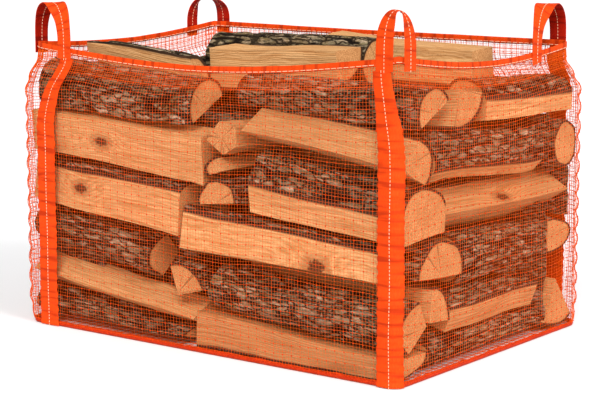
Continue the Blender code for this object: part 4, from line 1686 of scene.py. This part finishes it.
class Webbing:
    """Flat woven tape with soft edges, swept along a path."""

    columns = 14

    def section(self, width: float, thick: float) -> Array:
        """The tape's section.

        Args:
            width: Its width.
            thick: Its thickness.

        Returns:
            Points (across, out) round the closed section: the outer face first, then the inner face.
        """
        across = np.linspace(-1, 1, self.columns) * (width / 2 - thick / 2)
        rounded = np.linspace(-pi / 2, pi / 2, 4)[1:-1]
        edge = np.stack([np.cos(rounded), np.sin(rounded)], axis=-1) * thick / 2
        right = edge + (width / 2 - thick / 2, 0)
        left = -edge - (width / 2 - thick / 2, 0)
        outer = np.stack([across[::-1], np.full(self.columns, thick / 2)], axis=-1)
        inner = np.stack([across, np.full(self.columns, -thick / 2)], axis=-1)
        return np.concatenate([outer, left, inner, right])

    def mesh(self, name: str, rings: Array, widths: Array, run: Array) -> Object:
        """Makes a capped tape.

        Args:
            name: The piece's name.
            rings: Rows of section points.
            widths: Each section point's place across, in metres.
            run: Each row's place along, in metres.

        Returns:
            The object, with a UV map in metres.
        """
        rows, count = rings.shape[:2]
        points = rings.reshape(-1, 3)
        faces = grid_faces(rows, count).tolist()
        faces += [tuple(range(count))[::-1], tuple(range((rows - 1) * count, rows * count))]
        facing = self._turned_out(points, faces)
        obj = mesh_object(name, points, facing)
        obj.data.shade_smooth()
        obj.data.set_sharp_from_angle(angle=SHARP_ANGLE)
        across = np.broadcast_to(widths, (rows, count))
        along = np.broadcast_to(run[:, None], (rows, count))
        add_uv(obj, np.stack([across, along], axis=-1).reshape(-1, 2))
        return obj

    def _turned_out(self, points: Array, faces: list) -> list:
        """Returns the faces pointing outwards, judged by the volume of the quads."""
        spots = np.array([points[list(face[:4])] for face in faces[:-2]])
        first = np.einsum("ij,ij->i", spots[:, 0], np.cross(spots[:, 1], spots[:, 2])).sum()
        second = np.einsum("ij,ij->i", spots[:, 0], np.cross(spots[:, 2], spots[:, 3])).sum()
        return [tuple(face)[::-1] for face in faces] if first + second < 0 else [tuple(face) for face in faces]

    def paint(self, obj: Object, rows: int, outer: Material, inner: Material) -> None:
        """Gives the outer and the inner face of a tape their own material; the inner one is darker, as painted
        shade.
        """
        obj.data.materials.append(outer)
        obj.data.materials.append(inner)
        count = 2 * self.columns + 4
        across = np.arange(count)
        is_inner = (across >= self.columns + 1) & (across < 2 * self.columns + 1)
        kinds = np.concatenate([np.tile(is_inner, rows - 1).astype(int), [0, 0]])
        obj.data.polygons.foreach_set("material_index", kinds.tolist())


@dataclass(frozen=True)
class HandleForm:
    """A loop that bridges a corner, with each leg's distance from it, and the strap that goes on down."""

    name: str
    long_side: int
    long_distance: float
    short_side: int
    short_distance: float
    strap_distance: float


HANDLES = (
    HandleForm("front", 3, -0.024, 0, 0.020, -0.012),
    HandleForm("right", 1, 0.024, 0, -0.112, 0.044),
    HandleForm("back", 1, -0.020, 2, 0.058, -0.044),
    HandleForm("left", 3, 0.072, 2, -0.022, 0.044),
)


def place_on_side(side: int, distance: float) -> float:
    """Returns the along value at a distance from a side's first corner, or from its last if negative."""
    length = FORM.rim_length(side)
    return distance / length if distance > 0 else 1 + distance / length


@dataclass
class Handle(Webbing):
    """One webbing loop, sewn to the hem at both legs."""

    form: HandleForm
    width: float = 0.028
    thick: float = 0.0015
    top: float = 0.511
    overlap: float = 0.018
    leg_offset: float = 0.00225
    steps: int = 44
    ripple: float = 0.0004

    def path(self) -> tuple:
        """The loop's middle line.

        Returns:
            Points, the direction across the tape at each, and each point's place along the tape.
        """
        form = self.form
        legs = []
        for side, distance in ((form.long_side, form.long_distance), (form.short_side, form.short_distance)):
            along = place_on_side(side, distance)
            rim = float(FORM.rim(side, along))
            drop = np.linspace(self.overlap, 0, 4)
            legs.append(FORM.point(side, np.full(4, along), rim - drop, self.leg_offset))
        up = np.array([0.0, 0.0, 1.0])
        across_a, across_b = np.cross(up, FORM.facing(form.long_side)), np.cross(-up, FORM.facing(form.short_side))
        share = np.arange(1, self.steps) / self.steps
        angle = (pi * share)[:, None]
        base = legs[0][-1] + (legs[1][-1] - legs[0][-1]) * (1 - np.cos(angle)) / 2
        rise = np.sin(angle) ** 0.7
        crest = base * (1, 1, 0) + (0, 0, self.top - self.thick)
        loop = base + (crest - base) * rise
        turn = (smooth_step(share) * pi / 2)[:, None]
        loop_across = across_a * np.cos(turn) + across_b * np.sin(turn)
        points = np.concatenate([legs[0], loop, legs[1][::-1]])
        across = np.concatenate([np.tile(across_a, (4, 1)), loop_across, np.tile(across_b, (4, 1))])
        run = running_length(points)
        return points, across, run

    def frames(self) -> tuple:
        """Returns the path with its unit directions across and out, and its place along."""
        points, across, run = self.path()
        along = np.gradient(points, axis=0)
        along /= np.linalg.norm(along, axis=1, keepdims=True)
        across = across - along * np.einsum("ij,ij->i", across, along)[:, None]
        across /= np.linalg.norm(across, axis=1, keepdims=True)
        out = np.cross(across, along)
        middle = points.mean(axis=0)
        if np.einsum("ij,ij->i", out, points - middle).sum() < 0:
            out = -out
        return points, across, out, run

    def build(self, outer: Material, inner: Material) -> Object:
        """Makes the loop and dresses it.

        Args:
            outer: The finish of its outer face.
            inner: The finish of its inner face, a darker copy of the tape that paints shade there.

        Returns:
            The finished object.
        """
        points, across, out, run = self.frames()
        section = self.section(self.width, self.thick)
        wave = noise_at(run * 60, 0.5, 0.0, 91 + self.form.long_side) * self.ripple
        rise = section[None, :, 1:] + wave[:, None, None]
        rings = points[:, None] + across[:, None] * section[None, :, :1] + out[:, None] * rise
        obj = self.mesh(f"loop_{self.form.name}", rings, section[:, 0], run)
        self.paint(obj, len(points), outer, inner)
        dress(obj, "webbing", f"handle_{self.form.name}")
        return obj

    def stitch_lines(self, lines: LineSet) -> None:
        """Adds the stitch rows on both faces of the loop."""
        points, _, out, _ = self.frames()
        for level in (self.thick / 2 + 0.0001, -self.thick / 2 - 0.0001):
            lines.add(points + out * level)


@dataclass
class Strap(Webbing):
    """The webbing that is sewn down a long side from a loop's leg to the floor."""

    form: HandleForm
    handle_width: float = 0.028
    width: float = 0.038
    thick: float = 0.0014
    lift: float = 0.0011
    seam_lift: float = 0.0006
    drift: float = 0.11
    overlap: float = 0.018
    step: float = 0.0031
    pucker: float = 0.0008
    pucker_pitch: float = 0.0125
    scallop: float = 0.0016
    wander: float = 0.0012

    def rows(self) -> tuple:
        """The strap's heights from the ground up, its middle and its width at each."""
        form = self.form
        along = place_on_side(form.long_side, form.long_distance)
        top = float(FORM.rim(form.long_side, along)) - self.overlap
        heights = np.linspace(FORM.floor_chamfer * 0.2, top, round(top / self.step))
        share = smooth_step((top - heights) / self.drift)
        middle = form.long_distance + (form.strap_distance - form.long_distance) * share
        wander = noise_at(heights * 14, 0.0, form.long_side, 95) * self.wander
        widths = self.handle_width + (self.width - self.handle_width) * share
        uneven = noise_at(heights * 120, form.long_side, 0.0, 96)
        widths = widths + self.scallop * share * (np.sin(2 * pi * heights / self.pucker_pitch) + uneven)
        return heights, middle, wander * np.clip((top - heights) / 0.05, 0, 1), widths

    def spot(self, distance: Array, middle: float, height: float, offset: Array) -> Array:
        """Points of the strap, on the next side where it passes the corner.

        Args:
            distance: Distances from the corner along the tape.
            middle: The strap's middle there.
            height: The row's height.
            offset: How far each point stands out.

        Returns:
            Positions in metres.
        """
        side = self.form.long_side
        level = np.full(len(distance), height)
        if middle > 0:
            return FORM.point(side, self._share(side, distance, height), level, offset)
        here = FORM.point(side, 1 - self._share(side, -distance, height), level, offset)
        past = FORM.point(side + 1, self._share(side + 1, distance, height), level, offset)
        return np.where((distance > 0)[:, None], past, here)

    def _share(self, side: int, distance: Array, height: float) -> Array:
        """Returns how far along a side that length of tape reaches from the middle of its corner."""
        lean = smooth_step(np.array((height - FORM.shoulder) / (FORM.neck - FORM.shoulder)))
        length = np.linalg.norm(FORM.corner(side + 1, lean) - FORM.corner(side, lean))
        arc = FORM.corner_radius * pi / 4
        distance = np.maximum(distance, 0)
        on_arc, past = distance / arc * FORM.corner_radius, FORM.corner_radius + distance - arc
        return np.where(distance < arc, on_arc, past) / length

    def build(self, outer: Material) -> Object:
        """Makes the strap and dresses it.

        Args:
            outer: Its finish.

        Returns:
            The finished object.
        """
        rings, edges = [], []
        for height, middle, wander, width in zip(*self.rows()):
            section = self.section(width, self.thick)
            ripple = self.pucker * sin(2 * pi * height / self.pucker_pitch)
            offset = section[:, 1] + self.thick / 2 + self.lift + ripple * (1 - (2 * section[:, 0] / width) ** 2)
            offset = offset + self.seam_lift * smooth_step((height - FORM.neck + 0.01) / 0.02)
            rings.append(self.spot(middle + wander + section[:, 0], middle, height, offset))
            edges.append(section[:, 0])
        rings = np.array(rings)
        run = running_length(rings[:, 0])
        obj = self.mesh(f"webbing_{self.form.name}", rings, edges[0], run)
        obj.data.materials.append(outer)
        dress(obj, "webbing", f"strap_{self.form.name}")
        return obj

    def stitch_lines(self, lines: LineSet) -> None:
        """Adds the stitch row down the middle of the strap."""
        line = []
        for height, middle, wander, _ in zip(*self.rows()):
            offset = np.array([self.thick + self.lift + self.pucker])
            line.append(self.spot(np.array([middle + wander]), middle, height, offset)[0])
        lines.add(np.array(line))


@dataclass
class Bag:
    """The net with its hem, loops, straps and stitches."""

    def build(self) -> list:
        """Makes every piece of the bag and reports it.

        Returns:
            The finished objects.
        """
        yarn = YarnFinish().make()
        knot = YarnFinish("knot yarn", (0.800, 0.068, 0.003), (0.560, 0.028, 0.001)).make()
        seam = YarnFinish("seam yarn", (0.72, 0.050, 0.003), (0.30, 0.010, 0.001), 0.6).make()
        tape = TapeFinish().make()
        # The loops' inner face gets a darker, redder copy of the tape as painted shade.
        inner = TapeFinish("webbing inner face", (0.520, 0.016, 0.001), (0.300, 0.005, 0.001)).make()
        hem_tape = TapeFinish("hem tape", (0.900, 0.098, 0.006), (0.640, 0.040, 0.002), 0.0011, 0.0011).make()
        thread = YarnFinish("white thread", (0.90, 0.66, 0.50), (0.86, 0.36, 0.16), 0.5).make()
        made = Net().build(yarn, knot)
        made.append(Seam().build(seam))
        hem = Hem()
        made.append(hem.build(hem_tape))
        rows = LineSet()
        for form in HANDLES:
            loop, strap = Handle(form), Strap(form)
            made += [loop.build(tape, inner), strap.build(tape)]
            loop.stitch_lines(rows)
            strap.stitch_lines(rows)
        tree = stitch_tree()
        made.append(grow(rows.make("webbing_stitches"), tree, Thread=thread))
        dress(made[-1], "webbing")
        hem_rows = hem.stitch_lines().make("hem_stitches")
        made.append(grow(hem_rows, tree, Thread=thread, Pitch=0.0105, Length=0.0078, Radius=0.0005))
        dress(made[-1], "hem")
        return made


@dataclass
class Studio:
    """The white floor and backdrop, three broad lamps and the camera."""

    floor_size: float = 30.0
    eye: tuple = (1.548, -2.046, 0.577)
    tilt: float = 81.6
    turn: float = 37.2
    lens: float = 98.04
    soft_light: float = 0.36
    spread: float = 24.0
    backdrop: float = 1.05
    sensor: float = 36.0
    sight: float = 100.0

    def build(self) -> None:
        """Sets up the stage, the light and the camera."""
        half = self.floor_size
        corners = np.array([(-half, -half, 0), (half, -half, 0), (half, half, 0), (-half, half, 0)])
        floor = mesh_object("studio_floor", corners - (0, 0, 0.0004), [(0, 1, 2, 3)])
        floor.data.materials.append(FloorFinish().make())
        world = bpy.data.worlds.new("studio")
        world.use_nodes = True
        maker = TreeMaker(world.node_tree)
        # White behind the bag, and a softer light on it, so that the gaps between the logs stay dark
        seen = maker.add("ShaderNodeLightPath").outputs["Is Camera Ray"]
        strength = maker.plus(self.soft_light, maker.times(seen, self.backdrop - self.soft_light))
        backdrop = world.node_tree.nodes["Background"]
        backdrop.inputs["Color"].default_value = (1.0, 1.0, 1.0, 1.0)
        world.node_tree.links.new(strength, backdrop.inputs["Strength"])
        bpy.context.scene.world = world
        self._lamp("key", (0.60, -0.90, 0.90), 2.9)
        self._lamp("side", (1.00, -0.15, 0.60), 1.5)
        self._lamp("front", (0.50, -0.90, 0.20), 0.6)
        camera = bpy.data.objects.new("camera", bpy.data.cameras.new("camera"))
        bpy.context.scene.collection.objects.link(camera)
        camera.location = self.eye
        camera.rotation_euler = (radians(self.tilt), 0.0, radians(self.turn))
        camera.data.lens = self.lens
        camera.data.sensor_width = self.sensor
        camera.data.clip_end = self.sight
        bpy.context.scene.camera = camera
        bpy.context.scene.view_settings.view_transform = "Standard"

    def _lamp(self, name: str, place: tuple, power: float) -> None:
        """Adds a broad, far lamp that shines from that direction."""
        light = bpy.data.lights.new(name, "SUN")
        light.angle = radians(self.spread)
        light.energy = power
        lamp = bpy.data.objects.new(name, light)
        lamp.location = place
        lamp.rotation_euler = (-Vector(place)).to_track_quat("-Z", "Y").to_euler()
        bpy.context.scene.collection.objects.link(lamp)


def main() -> None:
    """Builds the stage, the logs and the bag."""
    Studio().build()
    pieces = Firewood().build()
    log.info("firewood: %d pieces", len(pieces))
    pieces = Bag().build()
    log.info("bag: %d pieces", len(pieces))


if __name__ == "__main__":
    main()
